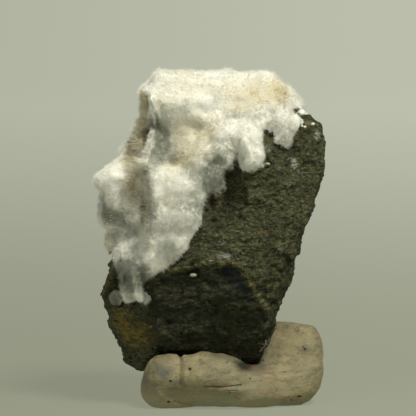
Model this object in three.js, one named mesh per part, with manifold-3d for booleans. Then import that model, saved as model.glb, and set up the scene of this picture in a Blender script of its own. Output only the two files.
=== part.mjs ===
// A hand specimen of okenite on basalt, held upright by a lump of modelling clay.
// Millimetres, +Z up, +X to the right and +Y towards the back. The origin is the middle of the clay's foot.
import * as THREE from "three";
import { ConvexGeometry } from "three/addons/geometries/ConvexGeometry.js";
import { ImprovedNoise } from "three/addons/math/ImprovedNoise.js";
import { TessellateModifier } from "three/addons/modifiers/TessellateModifier.js";
import { mergeVertices } from "three/addons/utils/BufferGeometryUtils.js";
import Module from "manifold-3d";

const wasm = await Module();
wasm.setup();

// ---- Driving sizes ----
const seatGap = 0.4; // how far a neighbour's cut stands off the stone's faces
const pieceGap = 0.3; // between a bead or puff and the pit that it sits in
const stoneGrain = 6.4; // longest edge of the stone's facets
const stoneRoughness = 1.2; // how far the broken faces swell and dip
const ledgeHeight = 12; // from one ledge of the broken faces to the next
const ledgeDepth = 1.6;
const ledgeLip = 0.25; // the share of a ledge's height below its lip, where it breaks off
const ledgeSlope = 0.35; // how fast the ledges climb towards the left
const crustThickness = 2.6; // okenite where no puff swells it
const crustSink = 3; // how far under the bare stone's face the okenite's field dips
const crustLump = 0.8; // lumps on the okenite
const lobeBlend = 1.6; // how far neighbouring lobes of okenite melt together
const clayBlend = 4;
const clayDimple = 0.9; // how far fingers dented the clay

// ---- How finely the pieces' starting spheres are divided ----
const crustDetail = 16;
const clayDetail = 7;
const scoopDetail = 2;
const beadDetail = 1;

// ---- Sizes that clear the whole piece, for cuts and searches ----
const footWidth = 200;
const stoneReach = 40;

// ---- The stone: corner points of the block that it broke from ----
const stoneCorners = {
  front: {
    horn_left: [8.5, -10, 85.5],
    top_right: [25.5, -4, 85],
    right_shoulder: [27.5, -5, 73],
    right_edge_high: [23.9, -9, 62],
    right_edge_mid: [17.8, -11, 45.5],
    right_edge_low: [11.4, -9, 27.5],
    spur: [7.5, -13.5, 27],
    ridge_low: [6.5, -18.5, 37],
    right_toe: [8, -3, 13],
    ridge_apex: [0, -21, 45.5],
    ridge_left: [-10.5, -20, 44.5],
    front_mid: [-8.5, -16.5, 63],
    front_high: [4, -16, 74.5],
    arris: [4, -19, 59],
    front_left: [-24.5, -16, 40],
    left_front_low: [-22.5, -11, 19],
  },
  left: {
    toe: [-29.5, 0, 10],
    toe_left: [-34.2, 4, 12],
    left_low: [-38.4, 3, 22.5],
    left_corner: [-40.5, 1, 33],
    left_high: [-36.5, -2, 42],
    left_swell: [-32, 4, 61.5],
    left_top: [-25.5, 4, 82.5],
    under_lobe: [-23, -9, 62],
  },
  top: {
    top_left: [-20, -2, 91.5],
    top_front: [-10.5, -4, 94],
    top_mid: [8.5, -1, 94.5],
    top_slope: [16.5, 3, 86.5],
  },
  back: {
    back_top_right: [25.5, 12, 82.5],
    back_right_high: [26.5, 13, 67.5],
    back_right_mid: [17, 16, 45],
    back_right_low: [10, 12, 21],
    back_toe_right: [4.5, 9, 10.5],
    back_toe_mid: [-10.5, 9, 8],
    back_toe_left: [-26, 14, 11],
    back_left_low: [-35.5, 16, 26],
    back_left_mid: [-35, 16, 48],
    back_left_high: [-26, 16, 76],
    back_top_left: [-19, 15, 91],
    back_top_mid: [0, 16, 95],
    back_top_slope: [15.5, 15, 86.5],
    back_crown: [0, 24, 66],
    back_belly: [-9, 25, 44.5],
    back_belly_low: [3.5, 22, 35.5],
    back_belly_left: [-23, 22, 58.5],
  },
};

// ---- The stone: scoops out of its faces, by the x and z of each middle, and notches in its edges ----
const frontScoops = {
  recess: { x: -2.6, z: 65.5, depth: 5, reach: [6.4, 7, 10] },
  dark_facet: { x: -2, z: 38, depth: 1.3, reach: [13, 14, 9] },
  face_hollow: { x: 8, z: 58, depth: 1, reach: [12, 12, 9] },
};
const backScoops = {
  back_high: { x: 12, z: 74, depth: 1.6, reach: [16, 14, 13] },
  back_low: { x: -22, z: 33, depth: 1.6, reach: [16, 14, 11] },
};
const edgeNotches = {
  notch_high: { at: [30, -9, 59.5], reach: [7.4, 8, 5] },
  notch_mid: { at: [24.5, -11, 43.5], reach: [7.4, 8, 5.5] },
  notch_low: { at: [20, -8, 32.5], reach: [7.2, 8, 5] },
  side_hollow: { at: [30, 15, 50], reach: [11, 12, 14] },
};

// ---- The stone: gas bubbles that opened on its broken front, by the x and z of each mouth ----
const bubbles = {
  bead_front: { x: -12.5, z: 41, radius: 1.9 },
  bead_upper: { x: 9.3, z: 73.5, radius: 1.7 },
  pit_by_bead: { x: -12.8, z: 44.6, radius: 1 },
  pit_face: { x: 1.6, z: 57.5, radius: 1.5 },
  pit_right: { x: 16.5, z: 65, radius: 1.2 },
  pit_low: { x: 2.5, z: 30, radius: 1.3 },
  pit_toe: { x: -19, z: 26, radius: 1.2 },
  pit_shoulder: { x: 18.5, z: 76, radius: 1.1 },
};
const pocket = { at: [-35.7, -4.6, 34.4], reach: [4.1, 4.8, 5.8] };
const pocketBallRadius = 2.3;
const pocketBallDrop = 1.9; // the ball rests low in its pocket

// ---- The okenite: round-ended rolls and puffs, each from one point to another with a radius ----
const crustLobes = {
  top_body: { from: [-19.5, 2, 94.2], to: [8.5, 4, 93.8], radius: 6.4 },
  cap_front: { from: [-21, -5, 93.5], to: [-7.5, -6.5, 93.8], radius: 5.3 },
  brow: { from: [-22.3, -9.4, 90.9], to: [-10, -10.2, 90.5], radius: 3.9 },
  knob_left: { from: [-22.4, -2, 98.3], radius: 3.2 },
  knob_shelf: { from: [-25.7, 0, 93.4], radius: 3 },
  neck_left: { from: [-26.5, 3, 93], to: [-26.5, 2, 86.5], radius: 1.8 },
  cap_right: { from: [9.2, 0, 95.7], radius: 4.6 },
  shoulder_right: { from: [14.7, 0, 92.2], radius: 4.4 },
  cheek_right: { from: [16.6, 0, 88.6], radius: 4.5 },
  slope_right: { from: [-6, -4, 90], to: [10.5, -3, 90], radius: 7 },
  bib: { from: [13.2, -8.2, 85], to: [17.2, -7, 84.8], radius: 3.3 },
  bib_tip: { from: [14.3, -10, 80.4], radius: 2.8 },
  under_brow: { from: [-18, -3.2, 88.5], to: [-11, -3.6, 88], radius: 6 },
  valley: { from: [-8.5, -3, 88], to: [-14, -5.5, 76], radius: 6 },
  crumbs: { from: [19, 2, 87.5], to: [21.5, 1, 86], radius: 1.5 },
  mid_high: { from: [-18.3, -13.5, 66], to: [-15.5, -14, 66.5], radius: 6.8 },
  mid_mid: { from: [-18.4, -14.5, 57], to: [-15, -15.5, 57], radius: 6.6 },
  mid_low: { from: [-19.6, -14.5, 49.5], to: [-17.4, -15.5, 50], radius: 6 },
  mid_foot: { from: [-24, -14, 43], to: [-21.2, -15, 43.6], radius: 4.3 },
  roll: { from: [-6, -12, 84], to: [-11.5, -13.5, 73], radius: 3.8 },
  puff_left: { from: [-3, -14.5, 81.6], radius: 5 },
  puff_right: { from: [3.4, -15, 80.8], radius: 5 },
  puff_drooping: { from: [5.3, -17, 75.2], radius: 3.8 },
  thin_right: { from: [-7, -14.5, 69], to: [-3.8, -14, 65.8], radius: 4 },
  left_puff: { from: [-36.4, -4, 68.2], radius: 5.2 },
  left_ridge: { from: [-34, -3, 70], to: [-26.5, 0, 82.5], radius: 3.3 },
  left_bump: { from: [-28.4, 1, 83.4], radius: 2.1 },
  left_low: { from: [-36.8, -3, 61.5], to: [-36.6, -3, 57], radius: 4.8 },
  left_fill: { from: [-31.5, -4, 57.5], to: [-32, -4, 53], radius: 4.2 },
  left_side: { from: [-31, 6, 66], to: [-34, 6, 55], radius: 4.4 },
  low_puff: { from: [-32, -7, 48.5], radius: 3 },
  low_web: { from: [-31.6, -9, 47.5], to: [-30.6, -10.6, 43], radius: 3 },
  low_edge: { from: [-34.4, -2, 50.5], to: [-33.7, -3, 45], radius: 2.6 },
  strand_left: { from: [-33.6, -6, 44], to: [-31, -9.6, 35.5], radius: 2.7 },
  strand_right: { from: [-28.6, -12, 44], to: [-28.4, -13.4, 38.5], radius: 2.4 },
  tuft_bright: { from: [-29, -13.8, 36.5], to: [-28.6, -13.4, 33.5], radius: 1.9 },
  tuft_right: { from: [-25.8, -14.2, 32.5], radius: 1.9 },
  tuft_left: { from: [-32.3, -8.5, 32.5], radius: 1.8 },
  fold_high: { from: [-23.8, -10, 82.4], to: [-26.4, -13.6, 73], radius: 1.7 },
  fold_low: { from: [-26.4, -13.6, 73], to: [-25, -14.5, 67.5], radius: 1.9 },
  fold_sheet: { from: [-22, -8, 80], to: [-23, -11, 72], radius: 2.6 },
  left_back_high: { from: [-21.5, 12, 84], radius: 6.2 },
  left_back_mid: { from: [-31, 13, 69], radius: 6 },
  left_back_low: { from: [-34, 12, 55], to: [-33, 14, 50], radius: 4.4 },
  back_top: { from: [-8, 16, 91], radius: 6 },
  back_puff: { from: [-15, 20, 79], radius: 5.6 },
  back_roll: { from: [-24, 19, 64], to: [-26, 19, 56], radius: 4.8 },
  back_tongue: { from: [0, 17, 88], to: [3, 21, 78], radius: 3.6 },
};
const crustCentre = [-6, 2, 60];
const crustReach = [34, 24, 44];
const crustLean = [-0.05, -0.28, 0.05]; // its rays stand closer towards the front, which has the finest lumps

// ---- The okenite: dents, as rolls and balls that press into it ----
const crustDents = {
  gully: { from: [-21, -14.5, 84.6], to: [-20.6, -16.8, 78.5], radius: 4.4 },
  valley_floor: { from: [-15, -17.4, 82], to: [-18.2, -18.4, 76.5], radius: 5 },
  hollow_high: { from: [-27.6, -12, 83], to: [-29.4, -14, 74], radius: 2.8 },
  hollow_low: { from: [-28.2, -15, 70], to: [-28.4, -14.5, 57], radius: 3.2 },
  pit_high: { from: [0.4, -23, 75.4], to: [0.4, -16, 74], radius: 1.3 },
  pit_low: { from: [0.2, -22, 71.6], to: [0.2, -15, 69.4], radius: 1.7 },
};

// ---- The okenite: its lower right border, a slanting plane, and its lower left border, a level one ----
const border = { slant: 72, lean: 0.4, leanFrom: -15, level: 46, wander: 5, wanderSize: 12, fade: [-2, 3] };

// ---- The okenite: small puffs on the sides and back, where a spiral of rays leaves the stone ----
const puffRays = 170;
const puffRadii = [2, 4.2];
const puffFront = 0; // the named lobes cover what lies in front of this y
const goldenTurn = Math.PI * (3 - Math.sqrt(5));

// ---- The clay: the rolls that fingers pushed up round the stone ----
const clayLobes = {
  pad: { from: [-19.5, 1, 4.5], to: [14, 2, 5], radius: 7 },
  pad_back: { from: [-14, 8, 5], to: [11, 9, 6], radius: 8 },
  front_left_high: { from: [-20.5, -9.5, 10.6], radius: 6.4 },
  front_left_low: { from: [-21, -8, 6], radius: 6 },
  front_middle: { from: [-10.5, -11, 11.2], to: [-4.5, -9.5, 9.2], radius: 6.4 },
  front_taper: { from: [-4.5, -9.5, 9.2], to: [6, -8, 5.6], radius: 5.8 },
  front_foot: { from: [-21, -7, 5], to: [16.5, -3, 6], radius: 5.4 },
  right_high: { from: [14.5, 7, 18], to: [19.9, 4.5, 17.2], radius: 6.7 },
  right_low: { from: [20.1, 3, 11.5], to: [19, 0.5, 8], radius: 6.7 },
  back_right: { from: [8, 14, 11], to: [14, 10, 13], radius: 6.6 },
  back_left: { from: [-18, 13, 7.5], to: [2, 15, 10], radius: 6.4 },
  left_end: { from: [-20.6, -2, 5], to: [-19.5, 9, 6], radius: 5.4 },
};
const clayCentre = [-2, 2, 6];
const clayReach = [26, 20, 14];

// ---- Helpers ----
const noise = new ImprovedNoise();
const vector = (xyz) => new THREE.Vector3(...xyz);
const { lerp, smoothstep, seededRandom } = THREE.MathUtils;

/** Two octaves of smooth noise at a point, about -1 to 1, with swells of the given size. */
function swell(point, size, seed = 0) {
  const [x, y, z] = [point.x / size + seed, point.y / size, point.z / size];
  return noise.noise(x, y, z) + 0.5 * noise.noise(2 * x, 2 * y, 2 * z);
}

/** The smaller of two distances, rounded off where they meet. */
function smoothMin(a, b, width) {
  const share = Math.max(width - Math.abs(a - b), 0) / width;
  return Math.min(a, b) - (share * share * width) / 4;
}

/** A three.js geometry as a manifold-3d solid. */
function toSolid(geometry) {
  const bare = geometry.clone();
  bare.deleteAttribute("normal");
  bare.deleteAttribute("uv");
  const merged = mergeVertices(bare, 1e-4);
  return new wasm.Manifold(
    new wasm.Mesh({
      numProp: 3,
      vertProperties: new Float32Array(merged.attributes.position.array),
      triVerts: new Uint32Array(merged.index.array),
    }),
  );
}

/** A manifold-3d solid as a named three.js mesh. */
function toMesh(solid, name, material) {
  const { vertProperties, triVerts, numProp } = solid.getMesh();
  const geometry = new THREE.BufferGeometry();
  const positions = new THREE.InterleavedBuffer(vertProperties, numProp);
  geometry.setAttribute("position", new THREE.InterleavedBufferAttribute(positions, 3, 0));
  geometry.setIndex(new THREE.BufferAttribute(triVerts, 1));
  const mesh = new THREE.Mesh(geometry.toNonIndexed(), material);
  mesh.geometry.computeVertexNormals();
  mesh.name = name;
  return mesh;
}

/** The largest of a solid's separate bodies. */
function mainBody(solid) {
  return solid.decompose().reduce((a, b) => (a.volume() > b.volume() ? a : b));
}

/** Distance from a point to the nearest of the lobes, which melt together over blend millimetres. */
function lobeDistance(lobes, point, blend) {
  let distance = Infinity;
  for (const { axis, radius } of lobes) {
    const nearest = axis.closestPointToPoint(point, true, new THREE.Vector3());
    distance = smoothMin(distance, nearest.distanceTo(point) - radius, blend);
  }
  return distance;
}

/** A list of lobes with their axes as lines. */
function lobeLines(lobes) {
  return lobes.map(({ from, to = from, radius }) => ({
    axis: new THREE.Line3(vector(from), vector(to)),
    radius,
  }));
}

/** A unit sphere of near-equal triangles that share their corners. */
function evenSphere(detail) {
  const sphere = new THREE.IcosahedronGeometry(1, detail);
  sphere.deleteAttribute("normal");
  sphere.deleteAttribute("uv");
  return mergeVertices(sphere, 1e-5);
}

/** A closed body whose points lie where rays from its centre last leave the inside of a distance field. */
function radialBody(centre, reach, detail, field, lean = [0, 0, 0]) {
  const middle = vector(centre);
  const sphere = evenSphere(detail);
  const points = sphere.attributes.position;
  const ray = new THREE.Vector3();
  const at = new THREE.Vector3();
  const along = (distance) => at.copy(ray).multiplyScalar(distance).add(middle);
  const stride = 0.5;
  for (let i = 0; i < points.count; i++) {
    ray.fromBufferAttribute(points, i).add(vector(lean)).multiply(vector(reach)).normalize();
    let outside = 1.5 * Math.max(...reach);
    while (outside > 1 && field(along(outside - stride)) > 0) outside -= stride;
    let inside = outside - stride;
    for (let halving = 0; halving < 8; halving++) {
      const half = (inside + outside) / 2;
      if (field(along(half)) > 0) outside = half;
      else inside = half;
    }
    points.setXYZ(i, ...along(inside).toArray());
  }
  return toSolid(sphere);
}

/** A ball with a swell on it, for a cut or a small tuft. */
function lumpyBall(centre, reach, detail, lumpiness, size) {
  const middle = vector(centre);
  const ball = evenSphere(detail);
  const points = ball.attributes.position;
  const point = new THREE.Vector3();
  for (let i = 0; i < points.count; i++) {
    point.fromBufferAttribute(points, i).multiply(vector(reach));
    const grow = 1 + lumpiness * swell(point.clone().add(middle), size);
    point.multiplyScalar(grow).add(middle);
    points.setXYZ(i, ...point.toArray());
  }
  return toSolid(ball);
}

// ---- The stone ----
const stonePoints = Object.values(stoneCorners).flatMap((side) => Object.values(side).map(vector));
const stoneHull = new ConvexGeometry(stonePoints);
const stoneFaces = hullPlanes(stoneHull);

/** The planes of a convex geometry's triangles. */
function hullPlanes(geometry) {
  const points = geometry.attributes.position;
  const planes = [];
  for (let i = 0; i < points.count; i += 3) {
    const corners = [i, i + 1, i + 2].map((k) => new THREE.Vector3().fromBufferAttribute(points, k));
    planes.push(new THREE.Plane().setFromCoplanarPoints(...corners));
  }
  return planes;
}

/** How far a point stands outside the unbroken block. */
function stoneDistance(point) {
  return Math.max(...stoneFaces.map((plane) => plane.distanceToPoint(point)));
}

/** How far the rough stone stands proud of the block: it swells, and its ledges thicken down to a lip. */
function stoneRelief(point) {
  const level = (point.z + ledgeSlope * point.x) / ledgeHeight + swell(point, 2 * ledgeHeight, 9);
  const rise = level - Math.floor(level);
  const ledge = rise < ledgeLip ? rise / ledgeLip : (1 - rise) / (1 - ledgeLip);
  return stoneRoughness * (swell(point, 9) - 0.2) + ledgeDepth * (ledge - 0.5);
}

/** The block with rough faces, all of them moved out by grow. */
function roughStone(grow) {
  const fine = new TessellateModifier(stoneGrain, 12).modify(stoneHull);
  fine.deleteAttribute("normal");
  fine.deleteAttribute("uv");
  const merged = mergeVertices(fine, 1e-4);
  merged.computeVertexNormals();
  const { position, normal } = merged.attributes;
  const point = new THREE.Vector3();
  const out = new THREE.Vector3();
  for (let i = 0; i < position.count; i++) {
    point.fromBufferAttribute(position, i);
    out.fromBufferAttribute(normal, i);
    point.addScaledVector(out, stoneRelief(point) + grow);
    position.setXYZ(i, ...point.toArray());
  }
  merged.deleteAttribute("normal");
  return toSolid(merged);
}

/** The y of the stone's face at a given x and z: its front where toBack is 1, its back where it is -1. */
function faceOfStone(x, z, toBack = 1) {
  const point = new THREE.Vector3(x, -stoneReach * toBack, z);
  while (stoneDistance(point) > 0) point.y += 0.05 * toBack;
  return point.y - toBack * stoneRelief(point);
}

/** Balls that each cut a shallow scoop of the given depth out of the front or the back. */
function scoops(table, toBack) {
  return Object.values(table).map(({ x, z, depth, reach }) => {
    const y = faceOfStone(x, z, toBack) - toBack * (reach[1] - depth);
    return lumpyBall([x, y, z], reach, scoopDetail, 0.12, 5);
  });
}

/** The pit of an opened gas bubble, half of it in the rock. */
function bubblePit({ x, z, radius }) {
  return lumpyBall([x, faceOfStone(x, z), z], [radius, radius, radius], beadDetail, 0, 1);
}

function basalt() {
  const notchBall = ({ at, reach }) => lumpyBall(at, reach, scoopDetail, 0.1, 6);
  const notches = Object.values(edgeNotches).map(notchBall);
  const pits = Object.values(bubbles).map(bubblePit);
  const hollow = lumpyBall(pocket.at, pocket.reach, scoopDetail, 0.08, 4);
  const cuts = [...scoops(frontScoops, 1), ...scoops(backScoops, -1), ...notches, ...pits, hollow];
  return mainBody(cuts.reduce((stone, cut) => stone.subtract(cut), roughStone(0)));
}

// ---- The okenite crust ----
/** How far inside the grown-over side of the stone a point lies: its upper left, front and back. */
function coverDepth(point) {
  const { slant, lean, leanFrom, level, wander, wanderSize } = border;
  const aboveSlant = (point.z - point.x - lean * (point.y - leanFrom) - slant) / Math.SQRT2;
  return Math.min(aboveSlant, point.z - level) + wander * swell(point, wanderSize, 3);
}

/** Small puffs over the sides and back of the crust, each centred just under its surface. */
function smallPuffs() {
  const puffs = [];
  seededRandom(11);
  for (let i = 0; i < puffRays; i++) {
    const height = 1 - (2 * i + 1) / puffRays;
    const girth = Math.sqrt(1 - height * height);
    const ray = new THREE.Vector3(girth * Math.cos(i * goldenTurn), girth * Math.sin(i * goldenTurn), height);
    ray.multiply(vector(crustReach)).normalize();
    const point = vector(crustCentre);
    while (stoneDistance(point) < 0) point.addScaledVector(ray, 0.25);
    const radius = lerp(...puffRadii, seededRandom());
    if (point.y > puffFront && coverDepth(point) > radius / 2) puffs.push({ from: point.toArray(), radius });
  }
  return puffs;
}

/** Distance to the crust: a layer over the stone, the lobes and small puffs, less the dents. */
function crustDistance(lobes, dents) {
  return (point) => {
    const cover = smoothstep(coverDepth(point), ...border.fade);
    const layer = stoneDistance(point) - lerp(-crustSink, crustThickness, cover);
    const grown = smoothMin(layer, lobeDistance(lobes, point, lobeBlend), lobeBlend);
    const dented = -smoothMin(-grown, lobeDistance(dents, point, lobeBlend), lobeBlend);
    return dented - crustLump * swell(point, 6, 7);
  };
}

function crust(seat) {
  const lobes = lobeLines([...Object.values(crustLobes), ...smallPuffs()]);
  const field = crustDistance(lobes, lobeLines(Object.values(crustDents)));
  return mainBody(radialBody(crustCentre, crustReach, crustDetail, field, crustLean).subtract(seat));
}

/** The bead at the bottom of an opened bubble. */
function bead({ x, z, radius }) {
  const size = radius - 0.7;
  const y = faceOfStone(x, z) + radius - size - pieceGap;
  return lumpyBall([x, y, z], [size, size, size], beadDetail, 0, 1);
}

/** The ball of okenite that grew in the pocket at the stone's left corner. */
function pocketBall() {
  const [x, y, z] = pocket.at;
  const radius = pocketBallRadius;
  const floor = y + pocket.reach[1] * Math.sqrt(1 - (pocketBallDrop / pocket.reach[2]) ** 2);
  const at = [x, floor - radius - 2 * pieceGap, z - pocketBallDrop];
  return lumpyBall(at, [radius, radius, radius], 2, 0.08, 3);
}

// ---- The clay foot ----
function clay(seat) {
  const lobes = lobeLines(Object.values(clayLobes));
  const field = (point) => lobeDistance(lobes, point, clayBlend) - clayDimple * swell(point, 10, 5);
  const below = new THREE.BoxGeometry(footWidth, footWidth, footWidth).translate(0, 0, -footWidth / 2);
  const lump = radialBody(clayCentre, clayReach, clayDetail, field);
  return mainBody(lump.subtract(seat).subtract(toSolid(below)));
}

// ---- Materials and assembly ----
const finishes = {
  basalt: new THREE.MeshStandardMaterial({ color: 0x3a3b2b, roughness: 0.9, metalness: 0 }),
  okenite: new THREE.MeshStandardMaterial({ color: 0xe6e3d2, roughness: 0.8, metalness: 0 }),
  clay: new THREE.MeshStandardMaterial({ color: 0xa49a78, roughness: 0.75, metalness: 0 }),
};

const seat = roughStone(seatGap);
const specimen = new THREE.Group();
specimen.add(
  toMesh(basalt(), "basalt_matrix", finishes.basalt),
  toMesh(crust(seat), "okenite_crust", finishes.okenite),
  toMesh(pocketBall(), "okenite_pocket_puff", finishes.okenite),
  toMesh(bead(bubbles.bead_front), "okenite_bead_front", finishes.okenite),
  toMesh(bead(bubbles.bead_upper), "okenite_bead_upper", finishes.okenite),
  toMesh(clay(seat), "clay_foot", finishes.clay),
);

export default specimen;
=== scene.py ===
"""Okenite specimen: white felted okenite on dark basalt, held upright by a lump of modelling clay."""
import logging
import math
from dataclasses import dataclass
from enum import Enum

import bmesh
import bpy
from bpy.types import ID, Material, NodeInputs, NodeSocket, NodeTree, Object
from mathutils import Matrix, Vector, noise
from mathutils.bvhtree import BVHTree


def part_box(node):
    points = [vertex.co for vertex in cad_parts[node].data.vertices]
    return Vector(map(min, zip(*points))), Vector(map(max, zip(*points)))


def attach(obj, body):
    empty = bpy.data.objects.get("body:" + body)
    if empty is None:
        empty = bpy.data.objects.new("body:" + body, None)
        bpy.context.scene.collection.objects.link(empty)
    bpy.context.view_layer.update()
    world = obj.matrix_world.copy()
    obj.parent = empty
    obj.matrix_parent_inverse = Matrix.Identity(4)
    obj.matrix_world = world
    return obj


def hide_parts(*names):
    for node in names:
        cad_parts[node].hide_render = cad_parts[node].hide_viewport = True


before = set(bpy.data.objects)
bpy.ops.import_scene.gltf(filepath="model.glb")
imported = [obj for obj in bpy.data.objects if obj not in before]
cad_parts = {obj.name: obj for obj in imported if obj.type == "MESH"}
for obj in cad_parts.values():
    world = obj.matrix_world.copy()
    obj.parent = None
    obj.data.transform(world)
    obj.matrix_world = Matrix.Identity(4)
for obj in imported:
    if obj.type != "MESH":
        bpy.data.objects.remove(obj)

MM = 0.001
MERGE = 1e-6  # metres; points of a solid that lie closer are one
FAR, TALL = 99, 200  # millimetres that clear the specimen sideways and upwards
HALF = (0.5, 0.5, 0.5)  # the middle of a noise's colours
BODY = "root"
LOG = logging.getLogger("okenite_specimen")

Triple = tuple[float, float, float]


def light(red: int, green: int, blue: int) -> Triple:
    """Turns a display colour of 0 to 255 into the linear values that Blender's sockets take."""
    parts = [value / 255 for value in (red, green, blue)]
    return tuple(p / 12.92 if p <= 0.04045 else ((p + 0.055) / 1.055) ** 2.4 for p in parts)


# ---- Node trees written as expressions ----


def pick(sockets: NodeInputs, key: str | int) -> NodeSocket:
    """Finds a socket by its place, or by the name or identifier of one that is in use.

    Args:
        sockets: the inputs or outputs of a node.
        key: the place, name or identifier.

    Returns:
        The socket.
    """
    if isinstance(key, int):
        return sockets[key]
    return next(s for s in sockets if s.enabled and key in (s.name, s.identifier))


class Sock:
    """A node's output that takes part in expressions."""

    def __init__(self, graph: "Graph", socket: NodeSocket) -> None:
        """Wraps a socket of a graph's tree."""
        self.graph = graph
        self.socket = socket

    @property
    def wide(self) -> bool:
        """Says whether the socket holds a vector or a colour."""
        return self.socket.type in {"VECTOR", "RGBA"}

    def out(self, key: str | int) -> "Sock":
        """Gives another output of the same node."""
        return Sock(self.graph, pick(self.socket.node.outputs, key))

    def __add__(self, other: "Sock | float | Triple") -> "Sock":
        """Adds."""
        return self.graph.join("ADD", self, other)

    def __radd__(self, other: "float | Triple") -> "Sock":
        """Adds, with the socket on the right."""
        return self.graph.join("ADD", other, self)

    def __sub__(self, other: "Sock | float | Triple") -> "Sock":
        """Subtracts."""
        return self.graph.join("SUBTRACT", self, other)

    def __rsub__(self, other: "float | Triple") -> "Sock":
        """Subtracts the socket from a value."""
        return self.graph.join("SUBTRACT", other, self)

    def __mul__(self, other: "Sock | float | Triple") -> "Sock":
        """Multiplies, or scales a vector by a number."""
        return self.graph.join("MULTIPLY", self, other)

    def __rmul__(self, other: "float | Triple") -> "Sock":
        """Multiplies, with the socket on the right."""
        return self.graph.join("MULTIPLY", other, self)

    def __truediv__(self, other: "Sock | float | Triple") -> "Sock":
        """Divides."""
        return self.graph.join("DIVIDE", self, other)

    def __rtruediv__(self, other: "float | Triple") -> "Sock":
        """Divides a value by the socket."""
        return self.graph.join("DIVIDE", other, self)

    def __pow__(self, other: "Sock | float") -> "Sock":
        """Raises to a power."""
        return self.graph.join("POWER", self, other)


@dataclass(frozen=True)
class Patch:
    """A soft-edged blob on the front, in millimetres, such as a stain or a dent.

    Attributes:
        at: the x and z of its middle.
        reach: half its width and half its height.
        amount: how strong it is in the middle.
        core: the share of its reach that has the full strength.
        turn: how far it is turned to the left, in degrees.
    """

    at: tuple[float, float]
    reach: tuple[float, float]
    amount: float = 1.0
    core: float = 0.15
    turn: float = 0.0

    def away(self, graph: "Graph", point: "Sock") -> "Sock":
        """Measures how far points lie from its middle.

        Args:
            graph: the tree that gets the nodes.
            point: the points.

        Returns:
            The distance, which is 1 at the patch's edge.
        """
        cos, sin = math.cos(math.radians(self.turn)), math.sin(math.radians(self.turn))
        offset = point - (self.at[0], 0.0, self.at[1])
        across = graph.dot(offset, (cos / self.reach[0], 0.0, sin / self.reach[0]))
        along = graph.dot(offset, (-sin / self.reach[1], 0.0, cos / self.reach[1]))
        return (across * across + along * along) ** 0.5


@dataclass(frozen=True)
class Seam:
    """A narrow line over the front, in millimetres, such as a crease or a ridge.

    Attributes:
        path: the x and z of the points that it runs through.
        reach: half its width.
        amount: how strong it is along its middle.
        core: the share of its reach that has the full strength.
    """

    path: tuple[tuple[float, float], ...]
    reach: float
    amount: float = 1.0
    core: float = 0.0

    def away(self, graph: "Graph", point: "Sock") -> "Sock":
        """Measures how far points lie from its path.

        Args:
            graph: the tree that gets the nodes.
            point: the points.

        Returns:
            The distance, which is 1 at the seam's edge.
        """
        flat = point * (1.0, 0.0, 1.0)
        nearest = None
        for start, end in zip(self.path, self.path[1:]):
            along = Vector((end[0] - start[0], 0.0, end[1] - start[1]))
            offset = flat - (start[0], 0.0, start[1])
            part = graph.dot(offset, tuple(along / along.length_squared))
            part = graph.math("MINIMUM", graph.math("MAXIMUM", part, 0.0), 1.0)
            gap = graph.length(offset - graph.vector("SCALE", Vector=tuple(along), Scale=part))
            nearest = gap if nearest is None else graph.math("MINIMUM", nearest, gap)
        return nearest / self.reach


@dataclass(frozen=True)
class Panel:
    """A flat-sided area of the front, in millimetres, such as one broken face.

    Attributes:
        corners: the x and z of its corners, anticlockwise, none of them pointing inwards.
        edge: how far inside its sides it reaches its full strength.
        amount: that strength.
        core: always 0; its edge gives its softness.
    """

    corners: tuple[tuple[float, float], ...]
    edge: float
    amount: float = 1.0
    core: float = 0.0

    def away(self, graph: "Graph", point: "Sock") -> "Sock":
        """Measures how far points lie outside its inner part.

        Args:
            graph: the tree that gets the nodes.
            point: the points.

        Returns:
            The distance, which is 1 at the panel's sides and 0 where it has its full strength.
        """
        farthest = None
        for start, end in zip(self.corners, self.corners[1:] + self.corners[:1]):
            outward = Vector((end[1] - start[1], 0.0, start[0] - end[0])).normalized()
            gap = graph.dot(point - (start[0], 0.0, start[1]), tuple(outward))
            farthest = gap if farthest is None else graph.math("MAXIMUM", farthest, gap)
        return farthest / self.edge + 1.0


Mark = Patch | Seam | Panel


def patches(*rows: tuple[float, ...]) -> tuple[Patch, ...]:
    """Makes patches from rows of x, z, half width, half height and, where given, amount, core and turn."""
    return tuple(Patch(row[:2], row[2:4], *row[4:]) for row in rows)


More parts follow.
